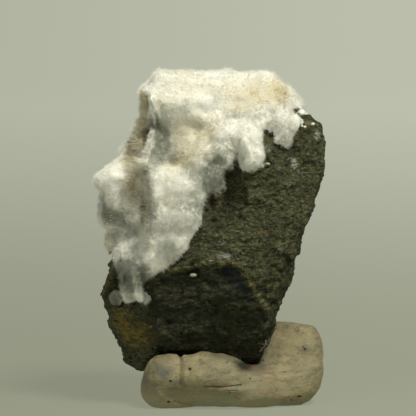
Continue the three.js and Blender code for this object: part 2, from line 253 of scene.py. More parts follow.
class Graph:
    """Writes the nodes of a tree from Python expressions. Its lengths are in millimetres."""

    def __init__(self, tree: NodeTree) -> None:
        """Starts with a tree."""
        self.tree = tree

    def make(
        self,
        kind: str,
        settings: dict[str, object] | None = None,
        values: dict[str | int, object] | None = None,
        output: str | int = 0,
    ) -> Sock:
        """Adds a node of any kind.

        Args:
            kind: the node's type.
            settings: its own settings, which are set first.
            values: numbers or links for its inputs.
            output: which of its outputs is wanted.

        Returns:
            That output.
        """
        node = self.tree.nodes.new(kind)
        for key, value in (settings or {}).items():
            setattr(node, key, value)
        for key, value in (values or {}).items():
            self.feed(pick(node.inputs, key), value)
        return Sock(self, pick(node.outputs, output))

    def feed(self, socket: NodeSocket, value: object) -> None:
        """Links an input, or sets its own value.

        Args:
            socket: the input.
            value: a socket of this graph, a number or a row of numbers.
        """
        if isinstance(value, Sock):
            self.tree.links.new(value.socket, socket)
        elif socket.type == "RGBA" and len(value) == 3:
            socket.default_value = (*value, 1)
        elif socket.type == "VECTOR" and isinstance(value, (int, float)):
            socket.default_value = (value,) * 3
        else:
            socket.default_value = value

    @staticmethod
    def is_wide(value: object) -> bool:
        """Says whether a value or a socket has more than one number."""
        return value.wide if isinstance(value, Sock) else isinstance(value, (tuple, list))

    def join(self, operation: str, first: object, second: object) -> Sock:
        """Adds the Math or Vector Math node of an operator.

        Args:
            operation: the node's operation.
            first: what stands left of the operator.
            second: what stands right of it.

        Returns:
            The result.
        """
        wide = [self.is_wide(first), self.is_wide(second)]
        if not any(wide):
            return self.make("ShaderNodeMath", {"operation": operation}, {0: first, 1: second})
        if operation == "MULTIPLY" and not all(wide):
            vector, scale = (first, second) if wide[0] else (second, first)
            return self.vector("SCALE", Vector=vector, Scale=scale)
        return self.make("ShaderNodeVectorMath", {"operation": operation}, {0: first, 1: second})

    def vector(self, operation: str, **values: object) -> Sock:
        """Adds a Vector Math node with named inputs."""
        output = "Value" if operation in {"LENGTH", "DISTANCE", "DOT_PRODUCT"} else "Vector"
        return self.make("ShaderNodeVectorMath", {"operation": operation}, values, output)

    def length(self, value: Sock) -> Sock:
        """Gives a vector's length."""
        return self.vector("LENGTH", Vector=value)

    def unit(self, value: Sock) -> Sock:
        """Gives a vector's direction."""
        return self.vector("NORMALIZE", Vector=value)

    def dot(self, first: object, second: object) -> Sock:
        """Gives the dot product of two vectors."""
        return self.make("ShaderNodeVectorMath", {"operation": "DOT_PRODUCT"}, {0: first, 1: second}, "Value")

    def math(self, operation: str, *values: object) -> Sock:
        """Adds a Math node that has no operator of its own."""
        return self.make("ShaderNodeMath", {"operation": operation}, dict(enumerate(values)))

    def axis(self, value: Sock, name: str) -> Sock:
        """Gives one of a vector's X, Y and Z."""
        return self.make("ShaderNodeSeparateXYZ", None, {0: value}, name)

    def ramp(self, value: Sock, low: float, high: float, bottom: float = 0.0, top: float = 1.0) -> Sock:
        """Turns low to high, where low may be the larger, smoothly into bottom to top, and stops there."""
        values = {"Value": value, "From Min": low, "From Max": high, "To Min": bottom, "To Max": top}
        return self.make("ShaderNodeMapRange", {"interpolation_type": "SMOOTHSTEP"}, values)

    def noise(
        self, point: Sock, size: float, detail: float = 2.0, rough: float = 0.5, bend: float = 0.0
    ) -> Sock:
        """Adds cloudy noise round 0.5, with swells of a size, finer layers of a strength, and distortion."""
        values = {"Vector": point, "Scale": 1 / size, "Detail": detail, "Roughness": rough}
        return self.make("ShaderNodeTexNoise", None, values | {"Distortion": bend})

    def wobble(self, point: Sock, size: float, reach: float, detail: float = 3.0) -> Sock:
        """Adds cloudy shifts in all directions, round zero, that push points up to a reach apart."""
        return (self.noise(point, size, detail, 0.6).out("Color") - HALF) * reach

    def cells(self, point: Sock, size: float, feature: str = "F1", soft: float = 0.6) -> Sock:
        """Adds a pattern of cells.

        Args:
            point: where it is read.
            size: the cells' width.
            feature: F1, SMOOTH_F1 or DISTANCE_TO_EDGE.
            soft: how smooth SMOOTH_F1 is.

        Returns:
            The distance from a cell's middle or edge, in cell widths.
        """
        values = {"Vector": point, "Scale": 1 / size}
        if feature == "SMOOTH_F1":
            values["Smoothness"] = soft
        return self.make("ShaderNodeTexVoronoi", {"feature": feature}, values)

    def facets(self, point: Sock, size: float) -> Sock:
        """Gives the height of a surface that is broken into small tilted faces of a size."""
        cell = self.cells(point, size)
        return self.dot(point - cell.out("Position"), cell.out("Color") - HALF)

    def blend(self, factor: Sock | float, first: object, second: object) -> Sock:
        """Mixes two colours."""
        values = {"Factor_Float": factor, "A_Color": first, "B_Color": second}
        return self.make("ShaderNodeMix", {"data_type": "RGBA"}, values, "Result_Color")

    def marks(self, point: Sock, marks: tuple[Mark, ...]) -> Sock:
        """Adds up the strengths of marks, which fade out behind the front.

        Args:
            point: where they are read.
            marks: the patches, seams and panels.

        Returns:
            The sum of their strengths.
        """
        total = None
        for mark in marks:
            value = self.ramp(mark.away(self, point), 1.0, mark.core, 0.0, mark.amount)
            total = value if total is None else total + value
        return total * self.ramp(self.axis(point, "Y"), 4.0, -3.0)


class Paint(Graph):
    """The node tree of one material."""

    def __init__(self, name: str, base: Triple) -> None:
        """Makes the material and reads the surface's own coordinates.

        Args:
            name: the material's name.
            base: its first colour, over which the stains are laid.
        """
        self.material = bpy.data.materials.new(name)
        self.material.use_nodes = True
        super().__init__(self.material.node_tree)
        self.shader = self.tree.nodes["Principled BSDF"]
        self.point = self.make("ShaderNodeTexCoord", output="Object") * (1 / MM)
        self.colour: Sock | Triple = base

    def stain(self, factor: Sock | float, colour: Triple) -> None:
        """Lays a colour over those before it."""
        self.colour = self.blend(factor, self.colour, colour)

    def bump(self, height: Sock) -> Sock:
        """Turns heights in millimetres into a normal."""
        return self.make("ShaderNodeBump", None, {"Height": height, "Distance": MM, "Strength": 1.0})

    def done(self, values: dict[str, object]) -> Material:
        """Feeds the shader.

        Args:
            values: numbers or links for its inputs besides its colour.

        Returns:
            The material.
        """
        for key, value in {"Base Color": self.colour, **values}.items():
            self.feed(pick(self.shader.inputs, key), value)
        return self.material


class Shaping(Graph):
    """A Geometry Nodes tree that works on one mesh."""

    def __init__(self, name: str, *numbers: str, **others: str) -> None:
        """Makes the tree.

        Args:
            name: the tree's name.
            numbers: the names of its inputs that take a number.
            others: the names of its further inputs, with their socket types.
        """
        tree = bpy.data.node_groups.new(name, "GeometryNodeTree")
        super().__init__(tree)
        for way in ("INPUT", "OUTPUT"):
            tree.interface.new_socket(name="Geometry", in_out=way, socket_type="NodeSocketGeometry")
        kinds = dict.fromkeys(numbers, "NodeSocketFloat") | others
        self.keys = {
            label: tree.interface.new_socket(name=label, in_out="INPUT", socket_type=kind).identifier
            for label, kind in kinds.items()
        }
        self.given = self.make("NodeGroupInput", output="Geometry")
        self.point = self.make("GeometryNodeInputPosition") * (1 / MM)
        self.normal = self.make("GeometryNodeInputNormal")

    def close(self, geometry: Sock) -> None:
        """Sends a geometry to the tree's output."""
        node = self.tree.nodes.new("NodeGroupOutput")
        self.tree.links.new(geometry.socket, node.inputs[0])

    def displace(self, offset: Sock) -> None:
        """Ends the tree by moving the mesh's points by offsets in metres."""
        self.close(self.make("GeometryNodeSetPosition", None, {"Geometry": self.given, "Offset": offset}))

    def put_on(self, thing: Object, values: dict[str, object]) -> None:
        """Adds the tree to an object as a modifier.

        Args:
            thing: the object.
            values: the values of the tree's named inputs.
        """
        modifier = thing.modifiers.new(self.tree.name, "NODES")
        modifier.node_group = self.tree
        for label, value in values.items():
            modifier[self.keys[label]] = value


# ---- Meshes ----


def show(name: str, data: ID) -> Object:
    """Puts an object into the scene.

    Args:
        name: its name.
        data: its mesh, or its camera's or lamp's own data.

    Returns:
        The object.
    """
    thing = bpy.data.objects.new(name, data)
    bpy.context.scene.collection.objects.link(thing)
    return thing


def merged_copy(node: str) -> Object:
    """Copies a CAD node's mesh as one closed surface.

    Args:
        node: the node's name.

    Returns:
        A new object with the merged copy.
    """
    work = bmesh.new()
    work.from_mesh(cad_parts[node].data)
    bmesh.ops.remove_doubles(work, verts=work.verts, dist=MERGE)
    mesh = bpy.data.meshes.new(f"{node}_copy")
    work.to_mesh(mesh)
    work.free()
    return show(f"{node}_copy", mesh)


def settle(source: Object, name: str, finish: Material, smooth: bool) -> Object:
    """Turns an object with modifiers into a plain piece, and deletes the source.

    Args:
        source: the object whose modifiers are worked out.
        name: the piece's name.
        finish: its material.
        smooth: whether its faces are shaded smoothly.

    Returns:
        The piece.
    """
    view = bpy.context.evaluated_depsgraph_get()
    mesh = bpy.data.meshes.new_from_object(source.evaluated_get(view), depsgraph=view)
    mesh.name = name
    for attribute in [a.name for a in mesh.attributes if a.name in {"sharp_face", "UVMap", "uv_map"}]:
        mesh.attributes.remove(mesh.attributes[attribute])
    mesh.materials.clear()
    mesh.materials.append(finish)
    mesh.polygons.foreach_set("use_smooth", [smooth] * len(mesh.polygons))
    bpy.data.objects.remove(source)
    return show(name, mesh)


def skin(thing: Object, voxel: float, soften: int) -> None:
    """Gives an object an even skin of small faces.

    Args:
        thing: the object.
        voxel: the size of the faces in millimetres.
        soften: how many rounds of smoothing follow.
    """
    remesh = thing.modifiers.new("Skin", "REMESH")
    remesh.mode = "VOXEL"
    remesh.voxel_size = voxel * MM
    remesh.use_smooth_shade = True
    if soften:
        smooth = thing.modifiers.new("Soften", "SMOOTH")
        smooth.factor = 0.5
        smooth.iterations = soften


def aim(name: str, data: ID, place: Vector, way: Vector) -> Object:
    """Puts a camera or a lamp into the scene.

    Args:
        name: its name.
        data: the camera's or the lamp's own data.
        place: where it stands, in metres.
        way: the direction in which it points.

    Returns:
        The object.
    """
    thing = show(name, data)
    thing.location = place
    thing.rotation_euler = way.to_track_quat("-Z", "Y").to_euler()
    return thing


def hand_in(piece: Object, slot: str, *nodes: str) -> Object:
    """Fixes a finished piece to the body, and logs it with its number of triangles.

    Args:
        piece: the piece, at the origin.
        slot: not used.
        nodes: the CAD nodes that it stands for.

    Returns:
        The piece.
    """
    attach(piece, BODY)
    if nodes:
        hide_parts(*nodes)
    LOG.info("%s: %d triangles", piece.name, sum(len(p.vertices) - 2 for p in piece.data.polygons))
    return piece


def surface(thing: Object) -> BVHTree:
    """Prepares an object's faces for finding places on them.

    Args:
        thing: the object.

    Returns:
        The search tree, in metres.
    """
    work = bmesh.new()
    work.from_mesh(thing.data)
    tree = BVHTree.FromBMesh(work)
    work.free()
    return tree


# ---- Where the okenite is stained, thin or broken, and where shade is painted on it ----

CREAM_STAINS = patches(
    (1.5, 93.5, 11, 5.4, 0.6, 0.15, -12), (1, 88.8, 7.5, 2.2, 0.4, 0.3), (-7, 84, 3.4, 6, 0.4, 0.15, -30),
    (8, 95, 7, 6, 0.5, 0.3), (13, 94, 5, 6, 0.8, 0.3), (-28, 88, 3, 10, 0.9, 0.4),
    (-29.5, 72, 4, 14, 0.6, 0.3), (-3, 101.6, 12, 2.4, 0.8, 0.3), (-14, 95.5, 11, 5, 0.35),
    (-13.5, 80.5, 8.5, 10, 0.6, 0.35, -20), (-22, 91.5, 7, 2.2, 0.3), (-17, 73.5, 7, 3.6, 0.5),
    (-20, 66, 5, 9, 0.25), (-30.6, 76.5, 3.5, 9, 0.5, 0.15, -35), (-32, 67, 2.4, 6, 0.5),
    (-26, 60, 2.5, 12, 0.3),
)
TAN_HOLLOWS = patches(
    (-29, 79, 4, 7, 0.6, 0.3, -25), (-30.2, 66, 2.2, 9, 0.5, 0.2), (13.4, 93.4, 3.4, 4.4, 0.4, 0.2),
    (4, 92.5, 7, 3.4, 0.15),
)
GOLD_SPOTS = patches(
    (14.4, 94, 1.5, 2.2, 0.15), (-37.5, 63.6, 0.5, 0.4, 0.9), (-12, 82, 0.7, 0.6, 0.7),
    (-15.5, 76.5, 0.6, 0.5, 0.5), (-4.5, 72.2, 0.7, 0.5, 0.7), (4.8, 71.2, 1.0, 0.6, 0.9),
    (-15.6, 46.8, 1.1, 0.6, 0.8), (-10.4, 53.6, 0.9, 0.6, 0.7), (-4.2, 62.2, 1.6, 0.5, 0.7),
    (-2, 101.6, 3.6, 0.8, 0.5), (-25.6, 48.6, 0.9, 0.5, 0.4),
)
RUSTY_RIMS = (
    Seam(((-9.4, 55), (-11.4, 52), (-15.6, 47.6), (-20, 44.2)), 0.7, 0.8, 0.3),
    Seam(((-27.6, 80), (-25.6, 74)), 1.4, 0.5),
    Seam(((-10, 62.6), (-4, 62)), 0.6, 0.8),
    Seam(((16, 86.6), (19.6, 81)), 0.6, 0.7),
    Seam(((-38, 71), (-28, 84)), 0.9, 0.4),
)
# Grey where the crust is thin over the rock; its upper edge is the painted shadow under the right puff.
THIN_SKIN_AND_SHADOW = Panel(((-2.1, 62.2), (0.3, 71.2), (-0.6, 74.8), (-5.4, 77.2), (-10.8, 71.2), (-9.0, 60.7)), 1.6)
# Grey where the crust is thin over the rock, and painted shade in the gully beside the crest, under the left
# puff and on the pocket ball.
GREY_THIN_AND_SHADE = (
    THIN_SKIN_AND_SHADOW,
    *patches(
        (-21.8, 85, 4.6, 5, 0.5, 0.2), (-22, 76.5, 2.6, 8, 0.85, 0.2, -18), (-8.4, 70.6, 3.4, 4, 0.8, 0.3),
        (-12, 69.4, 3, 3.4, 0.5), (-22.4, 80.4, 4, 6, 0.8, 0.3), (-19.5, 76.5, 3.4, 5, 0.6),
        (-38, 60, 4.4, 6, 0.6, 0.3), (-32.5, 62.4, 3.4, 3, 0.15), (-14.5, 57, 6.5, 5, 0.3, 0.2),
        (-14, 70.4, 4, 2.6, 0.4), (-24, 58.5, 3, 3, 0.5), (-20, 49.5, 8, 3, 0.5), (-36, 51.5, 3, 6, 0.6),
        (-8, 90, 4, 3, 0.3), (-20, 55, 4, 5, 0.4), (-30, 47, 3, 4, 0.5), (-1.8, 77.2, 2.2, 1.4, 0.4),
        (15, 81.5, 4, 4, 0.5), (-36, 57, 5.4, 4, 0.8), (-15, 61, 9, 3, 0.35), (-11.5, 64, 4, 8, 0.45),
        (-20, 47, 6, 5, 0.35), (-39.4, 61, 1.4, 4, 0.5), (-34.5, 42, 3.6, 7, 0.55), (-26, 31.5, 3, 3, 0.5),
        (-25.5, 60, 1.4, 12, 0.5), (-10, 57, 3.5, 9, 0.35), (-12, 48, 3, 4, 0.3), (-31, 52, 5, 5, 0.6, 0.2),
        (-31, 44, 5, 4, 0.6, 0.2), (-24.6, 77, 2.0, 6.5, 0.7, 0.3, -18), (-36.6, 32.6, 3, 3, 1.0, 0.6),
        (-32, 39, 4.4, 7, 1.0, 0.4), (-27.4, 40, 3.4, 6, 1.0, 0.3), (-26, 32, 2.2, 2.6, 0.8, 0.4),
    ),
)
# Darker where the crust is thin over the rock, and painted shade in the gully, under the left puff and on and
# beside the pocket ball.
DARK_THIN_AND_SHADE = patches(
    (-4.5, 66, 6, 7, 0.55, 0.3), (-1.8, 71.2, 2.2, 3, 0.7, 0.3), (-27.2, 60, 1.3, 5, 0.6),
    (-26.2, 33, 2.4, 3.4, 0.5, 0.3), (-22, 81, 3.4, 4.5, 0.35), (-37.4, 57.4, 4.4, 3.4, 0.3, 0.2),
    (-8.4, 61, 2, 4, 0.5), (-34.5, 55.4, 5.4, 2.4, 0.35, 0.2), (-34.0, 40, 2.4, 7, 0.3, 0.2),
    (-38.4, 57, 2.4, 4, 0.4), (-36.8, 31.8, 3, 3, 0.7, 0.4), (-31.6, 37, 1.6, 6, 0.4),
    (-27.6, 39.6, 2.2, 4, 0.5), (-32, 44, 4, 2.0, 0.4),
)
# Painted shade, tinted brown, in the hollows beside the crest and under the left puff, in the slit by the
# brow and in the pit under the right puff.
BROWN_PAINTED_SHADE = patches(
    (-28, 79, 3.0, 6.0, 0.15, 0.2, -20), (-27.3, 59, 1.6, 7, 0.7, 0.3), (-30, 62, 2.4, 7, 0.3),
    (-33.5, 58, 6, 2, 0.35), (-26.1, 91, 0.8, 3.4, 0.6, 0.2), (-7, 64.5, 1.8, 1.4, 0.5),
    (-3.4, 68, 1.2, 2, 0.5), (0.4, 76.6, 1.0, 1.4, 0.9, 0.3),
)
WHITE_PUFFS = patches(
    (-17.5, 66.5, 7, 5.4, 0.7, 0.2), (-36.8, 69, 5, 6.5, 0.9, 0.3), (1.5, 80.5, 8, 6, 0.8, 0.4),
    (5, 76, 4.4, 5.5, 0.9, 0.4), (-33, 48.4, 2.0, 2.0, 0.25), (-17, 94, 9, 3, 0.3),
    (9.6, 99.5, 3.4, 2.4, 0.6), (18.4, 91, 2.4, 6, 0.7, 0.15, 25), (-29.2, 33.4, 1.2, 2.0, 0.5, 0.3),
    (-35.6, 60.6, 1.0, 2.0, 0.4), (-24.8, 77.8, 0.8, 4.6, 0.5, 0.3, -20), (-22.5, 66, 2.4, 6, 0.5),
)
SMOOTH_AREAS = patches(
    (-13, 83, 9, 8, 0.85, 0.4, -20), (-3, 95, 22, 8, 0.85, 0.6), (-36.5, 69, 6.5, 8, 0.7, 0.4),
    (-17, 68, 8, 8, 0.5, 0.3), (1, 80, 8, 6.5, 0.6, 0.4),
)
CREST = Seam(((-24, 82.3), (-24.9, 77.8), (-27.3, 72.6), (-26.4, 69.4), (-25.6, 65.5)), 1.3)


@dataclass(frozen=True)
class OkeniteFinish:
    """White okenite, stained cream where water has run through it and grey where it is thin, with painted
    shade, grey and brown, in its gully, hollows, slit, pit and pocket.

    Attributes:
        name: the material's name.
        white: its cleanest colour.
        gloss: its roughness.
        bump: the height of its fine grain in millimetres.
        depth: how much light passes into it.
    """

    name: str
    white: Triple
    gloss: float
    bump: float
    depth: float

    CREAM = light(217, 208, 180)
    TAN = light(190, 178, 145)
    GOLD = light(190, 158, 96)
    GREY = light(168, 170, 158)
    DARK = light(104, 106, 92)
    # the colour of the painted shade in the hollows, slit and pit
    SHADE_BROWN = light(150, 138, 104)

    def material(self) -> Material:
        """Builds the material.

        Returns:
            The material, which reads the specimen's own coordinates.
        """
        paint = Paint(self.name, self.white)
        point = paint.point
        wobble = paint.wobble(point, 3.0, 3.4)
        place = point + wobble
        mottle = paint.noise(point, 1.4, 4, 0.65)
        broad = paint.noise(point + (3, 50, 8), 11.0, 3, 0.6)
        behind = paint.ramp(paint.axis(point, "Y"), -3.0, 4.0)
        paint.stain(paint.ramp(mottle, 0.45, 0.75, 0.0, 0.3), self.GREY)
        paint.stain(paint.ramp(broad, 0.48, 0.68, 0.0, 0.8) * behind, self.CREAM)
        paint.stain(paint.ramp(broad, 0.38, 0.22, 0.0, 0.8) * behind, self.GREY)
        paint.stain(paint.marks(place, CREAM_STAINS), self.CREAM)
        paint.stain(paint.marks(place, TAN_HOLLOWS), self.TAN)
        # grey of thin crust, with painted shade in the gully, under the left puff and in the pocket
        paint.stain(paint.marks(place, GREY_THIN_AND_SHADE), self.GREY)
        # darker thin crust, with painted shade in the gully, under the left puff and in the pocket
        paint.stain(paint.marks(place, DARK_THIN_AND_SHADE) * paint.ramp(mottle, 0.3, 0.6, 0.5, 1.0), self.DARK)
        # painted shade, tinted brown, in the hollows, slit and pit
        paint.stain(paint.marks(place, BROWN_PAINTED_SHADE), self.SHADE_BROWN)
        paint.stain(paint.marks(place, WHITE_PUFFS), self.white)
        paint.stain(paint.marks(point + wobble * 0.2, GOLD_SPOTS), self.GOLD)
        broken = paint.ramp(paint.noise(point, 0.9, 2), 0.56, 0.64)
        paint.stain(paint.marks(point + wobble * 0.3, RUSTY_RIMS) * broken, self.GOLD)
        grain = paint.noise(point, 0.6, 4, 0.7)
        streaks = paint.noise(point * (0.35, 0.5, 1.6), 0.5, 3, 0.7)
        return paint.done(
            {
                "Roughness": self.gloss,
                "Normal": paint.bump((grain + streaks) * self.bump),
                "Subsurface Weight": self.depth,
                "Subsurface Radius": (1.0, 0.95, 0.85),
                "Subsurface Scale": 1.4 * MM,
                "Specular IOR Level": 0.3,
            }
        )


@dataclass(frozen=True)
class BasaltFinish:
    """Dark fine-grained basalt with olive grains, rust and a weathered yellow-brown corner."""

    name: str = "basalt"

    DARK = light(43, 45, 31)
    OLIVE = light(84, 86, 58)
    TAN = light(144, 134, 86)
    BLACK = light(15, 16, 12)
    BLUE_BLACK = light(30, 33, 35)
    OCHRE = light(126, 108, 52)
    RUST = light(104, 66, 30)
    PALE = light(160, 162, 148)

    OCHRE_CORNER = patches(
        (-34, 25, 5, 7, 0.9, 0.3), (-38.4, 38, 3, 5, 0.6), (-30, 20, 5.4, 5, 0.9, 0.3),
        (-26, 23, 4, 7, 0.45, 0.15, 20),
    )
    SHADED_FACET = (
        Panel(
            ((-25.5, 39.4), (-27, 24), (-22, 12), (9, 12), (12.4, 25), (5.4, 36), (0.4, 43.2), (-6, 44.8)),
            1.2,
            0.5,
        ),
        Patch((-12, 26), (13, 15), 0.1, 0.3),
        Patch((-3, 59.6), (7, 5), 0.4, 0.2, 20),
    )
    SMOOTH_FACET = (
        Panel(((-4.4, 43.8), (-4.4, 40.4), (1.4, 34.4), (5.2, 35), (1.6, 41.4), (-1.2, 43.8)), 0.7),
    )
    PALE_SPOTS = patches(
        (17.4, 73, 1.4, 2.2, 1.0, 0.3), (19, 70.6, 1.6, 1.0, 0.5), (24.4, 81.3, 1.5, 2.2, 0.9, 0.2),
        (-4, 50.5, 1.6, 1.3, 0.8), (-3, 46.4, 5.6, 1.2, 0.7), (-7, 45, 1.6, 1.0, 0.8),
        (9.6, 77.5, 1.4, 2, 0.5), (15.6, 67, 1.6, 1.0, 0.5), (12.6, 48.2, 0.5, 0.4, 1.0),
    )
    RUST_SPOTS = patches(
        (11.1, 64.8, 1.0, 0.5, 0.9), (8.7, 53, 2.0, 0.7, 0.5), (5.1, 46.4, 0.7, 0.5, 0.8),
        (0, 44, 0.6, 0.5, 0.8), (16.5, 65.2, 0.6, 0.5, 0.8), (-4.5, 61.5, 1.6, 0.5, 0.6),
    )
    DARK_SPOTS = patches(
        (-12.9, 43.8, 1.7, 1.0, 1.0, 0.3), (1.5, 57.6, 1.2, 1.5, 0.8, 0.3), (11.4, 64, 0.9, 0.5, 0.9, 0.3),
        (17, 79.6, 2.2, 1.6, 0.6), (-28.6, 31.6, 2.6, 1.2, 0.6),
    )
    LIT_EDGE = (
        Seam(((-19, 42), (-8, 44.6), (-2, 45), (1.6, 43.2), (5.8, 36.2), (9.8, 30)), 0.9, 0.8),
        Seam(((21, 84.6), (26, 84.6)), 0.7, 0.6),
        Seam(((-40, 33), (-36.4, 43)), 1.1, 0.7),
    )
    SCRATCHES = (
        Seam(((7.4, 16.4), (10.6, 20.4)), 0.35),
        Seam(((8.8, 16.6), (9.2, 20)), 0.3),
        Seam(((7, 19), (10.4, 18.4)), 0.3),
    )

    def material(self) -> Material:
        """Builds the material.

        Returns:
            The material, which reads the specimen's own coordinates.
        """
        paint = Paint(self.name, self.DARK)
        point = paint.point
        wobble = paint.wobble(point, 2.4, 3.0)
        place = point + wobble * 0.6
        flow = place * (0.8, 0.8, 1.9)
        cloud = paint.noise(flow, 1.3, 5, 0.78)
        speck = paint.noise(flow + (31, 7, 3), 0.7, 3, 0.7)
        broad = paint.noise(point, 7.0, 3, 0.6)
        chips = paint.axis(paint.cells(flow, 0.9).out("Color"), "X")
        paint.stain(paint.ramp(chips * 0.3 + cloud * 0.7, 0.36, 0.6), self.OLIVE)
        paint.stain(paint.ramp(broad, 0.35, 0.65, 0.45, 0.0), self.DARK)
        shade = paint.marks(place, self.SHADED_FACET)
        paint.stain(shade, self.BLACK)
        ochre = paint.noise(point * (0.7, 0.7, 2.0) + wobble + (8, 3, 1), 2.6, 4, 0.7)
        paint.stain(paint.marks(place, self.OCHRE_CORNER) * paint.ramp(ochre, 0.38, 0.56), self.OCHRE)
        paint.stain(paint.ramp(speck, 0.56, 0.7, 0.0, 0.85) * (1 - shade * 1.3), self.TAN)
        paint.stain(paint.ramp(speck, 0.44, 0.32, 0.0, 0.9), self.BLACK)
        rust = paint.noise(point + (5, 40, 9), 2.2, 3, 0.6)
        paint.stain(paint.ramp(rust, 0.66, 0.78, 0.0, 0.5), self.RUST)
        paint.stain(paint.marks(place, self.SMOOTH_FACET) * 0.85, self.BLUE_BLACK)
        paint.stain(paint.marks(place, self.PALE_SPOTS) * paint.ramp(speck, 0.42, 0.56), self.PALE)
        paint.stain(paint.marks(place, self.LIT_EDGE) * paint.ramp(cloud, 0.44, 0.56), self.TAN)
        paint.stain(paint.marks(point + wobble * 0.2, self.RUST_SPOTS), self.RUST)
        paint.stain(paint.marks(point + wobble * 0.3, self.DARK_SPOTS), self.BLACK)
        paint.stain(paint.marks(point, self.SCRATCHES) * paint.ramp(speck, 0.4, 0.5), self.PALE)
        height = paint.facets(flow, 1.2) * 0.8 + cloud * 0.6 + speck * 0.25
        return paint.done(
            {
                "Roughness": paint.ramp(cloud, 0.3, 0.7, 0.5, 0.8),
                "Normal": paint.bump(height),
                "Specular IOR Level": 0.2,
            }
        )


@dataclass(frozen=True)
class ClayFinish:
    """Beige-grey modelling clay with reddish streaks, a bluish smudge and pits, with painted shade at the
    stone's foot and in its pits and creases, and painted light towards its bottom.
    """

    name: str = "modelling_clay"

    BEIGE = light(126, 119, 93)
    WARM = light(146, 136, 103)
    SHADE = light(96, 92, 74)
    PALE = light(156, 149, 120)
    BLUE = light(92, 97, 93)
    RED = light(136, 90, 66)
    PIT = light(38, 38, 30)

    SMUDGES = patches(
        (-21, 11.5, 3.6, 2.6, 0.7), (-17.5, 8.5, 3, 2.2, 0.5), (8.4, 12.8, 2.4, 1.0, 0.6),
    )
    # Painted shade where the stone sits in the clay, and below the stone's right foot.
    PAINTED_CONTACT_SHADE = (
        Seam(
            ((-20, 17.6), (-13, 18.4), (-7, 17.0), (-2.4, 15.8), (0.6, 14.0), (4.2, 12.2), (8, 11.6)),
            2.0,
            0.5,
        ),
        Patch((2.5, 12.8), (5, 3), 0.6, 0.1),
        Patch((8, 7), (7, 4.6), 0.2, 0.1),
    )
    STREAKS = (
        Seam(((4.5, 12.2), (7, 11.6), (11, 10.6)), 0.6, 0.5),
        Seam(((9, 9.2), (12.4, 8.6), (16.5, 7.2)), 0.5, 0.6),
        Seam(((15, 18.6), (17.5, 15.8)), 0.4, 0.5),
        Seam(((-24, 14), (-21.6, 15.4)), 0.4, 0.5),
        Seam(((-18, 2.4), (-13, 0.8)), 0.5, 0.7),
        Seam(((7, 5.4), (19, 2.4)), 0.8, 0.5),
        Seam(((-6, 7.6), (-3, 7.4)), 0.6, 0.7),
        Seam(((0, 4.2), (1, 3.2)), 0.6, 0.7),
    )
    # Pits, dented into the bump and filled with painted shade.
    HOLES = patches(
        (-13.5, 12.5, 0.55, 0.5, 1.0, 0.5), (-19.2, 8.9, 0.6, 0.4, 1.0, 0.5),
        (-19.8, 2.3, 0.6, 0.4, 1.0, 0.5), (21, 16.8, 0.5, 0.35, 1.0, 0.5), (20.4, 17.4, 0.3, 0.3, 0.8, 0.5),
        (19.2, 3.2, 0.9, 0.35, 1.0, 0.5), (16.8, 2.2, 0.4, 0.3, 0.8, 0.5), (8.4, 13.2, 0.6, 0.3, 0.8, 0.4),
        (-1.6, 5.6, 0.3, 0.3, 0.7, 0.5), (4.4, 9.2, 0.3, 0.3, 0.7, 0.5),
    )
    # Creases, dented into the bump and darkened with painted shade.
    CREASES = (
        Seam(((-9, 7.4), (-5, 7.0), (1.8, 7.6)), 0.35, 0.8),
        Seam(((-2.8, 6.2), (0.4, 6.0)), 0.3, 0.7),
        Seam(((-16.3, 16), (-16, 12.6), (-16.4, 8)), 0.5, 0.7),
        Seam(((13, 10.4), (17, 10.8)), 0.3, 0.5),
    )

    def material(self) -> Material:
        """Builds the material.

        Returns:
            The material, which reads the specimen's own coordinates.
        """
        paint = Paint(self.name, self.BEIGE)
        point = paint.point
        wobble = paint.wobble(point, 2.2, 2.4)
        place = point + wobble
        broad = paint.noise(point, 8.0, 3, 0.55)
        fine = paint.noise(point, 0.8, 4, 0.65)
        smear = paint.noise(place * (0.6, 0.6, 1.5) + (2, 9, 4), 1.6, 5, 0.72)
        paint.stain(paint.ramp(broad, 0.35, 0.65), self.WARM)
        paint.stain(paint.ramp(smear, 0.52, 0.34, 0.0, 0.75), self.SHADE)
        paint.stain(paint.ramp(smear, 0.56, 0.72, 0.0, 0.6), self.PALE)
        # Painted light: the clay is made paler towards its bottom, except at the right.
        low = paint.ramp(paint.axis(point, "Z"), 9.0, 1.0)
        paint.stain(low * paint.ramp(paint.axis(point, "X"), 4.0, 20.0, 0.9, 0.0), self.PALE)
        # painted shade along the stone's foot
        paint.stain(paint.marks(point, self.PAINTED_CONTACT_SHADE), self.PIT)
        paint.stain(paint.marks(place, self.SMUDGES), self.BLUE)
        streak = paint.noise(point * (1.0, 1.0, 3.0) + (17, 3, 5), 3.0, 4, 0.65, 0.6)
        paint.stain(paint.ramp(streak, 0.62, 0.74, 0.0, 0.4), self.RED)
        paint.stain(paint.marks(place, self.STREAKS) * 0.7, self.RED)
        paint.stain(paint.ramp(paint.cells(point, 3.4), 0.075, 0.045, 0.0, 0.8), self.PIT)
        # painted shade in the pits and creases
        holes = paint.marks(point, self.HOLES)
        paint.stain(holes, self.PIT)
        creases = paint.marks(point + wobble * 0.2, self.CREASES)
        paint.stain(creases * 0.5, self.PIT)
        height = fine * 0.12 + smear * 0.35 - (holes + creases) * 0.35
        return paint.done(
            {
                "Roughness": paint.ramp(fine, 0.3, 0.7, 0.55, 0.75),
                "Normal": paint.bump(height),
                "Specular IOR Level": 0.35,
            }
        )


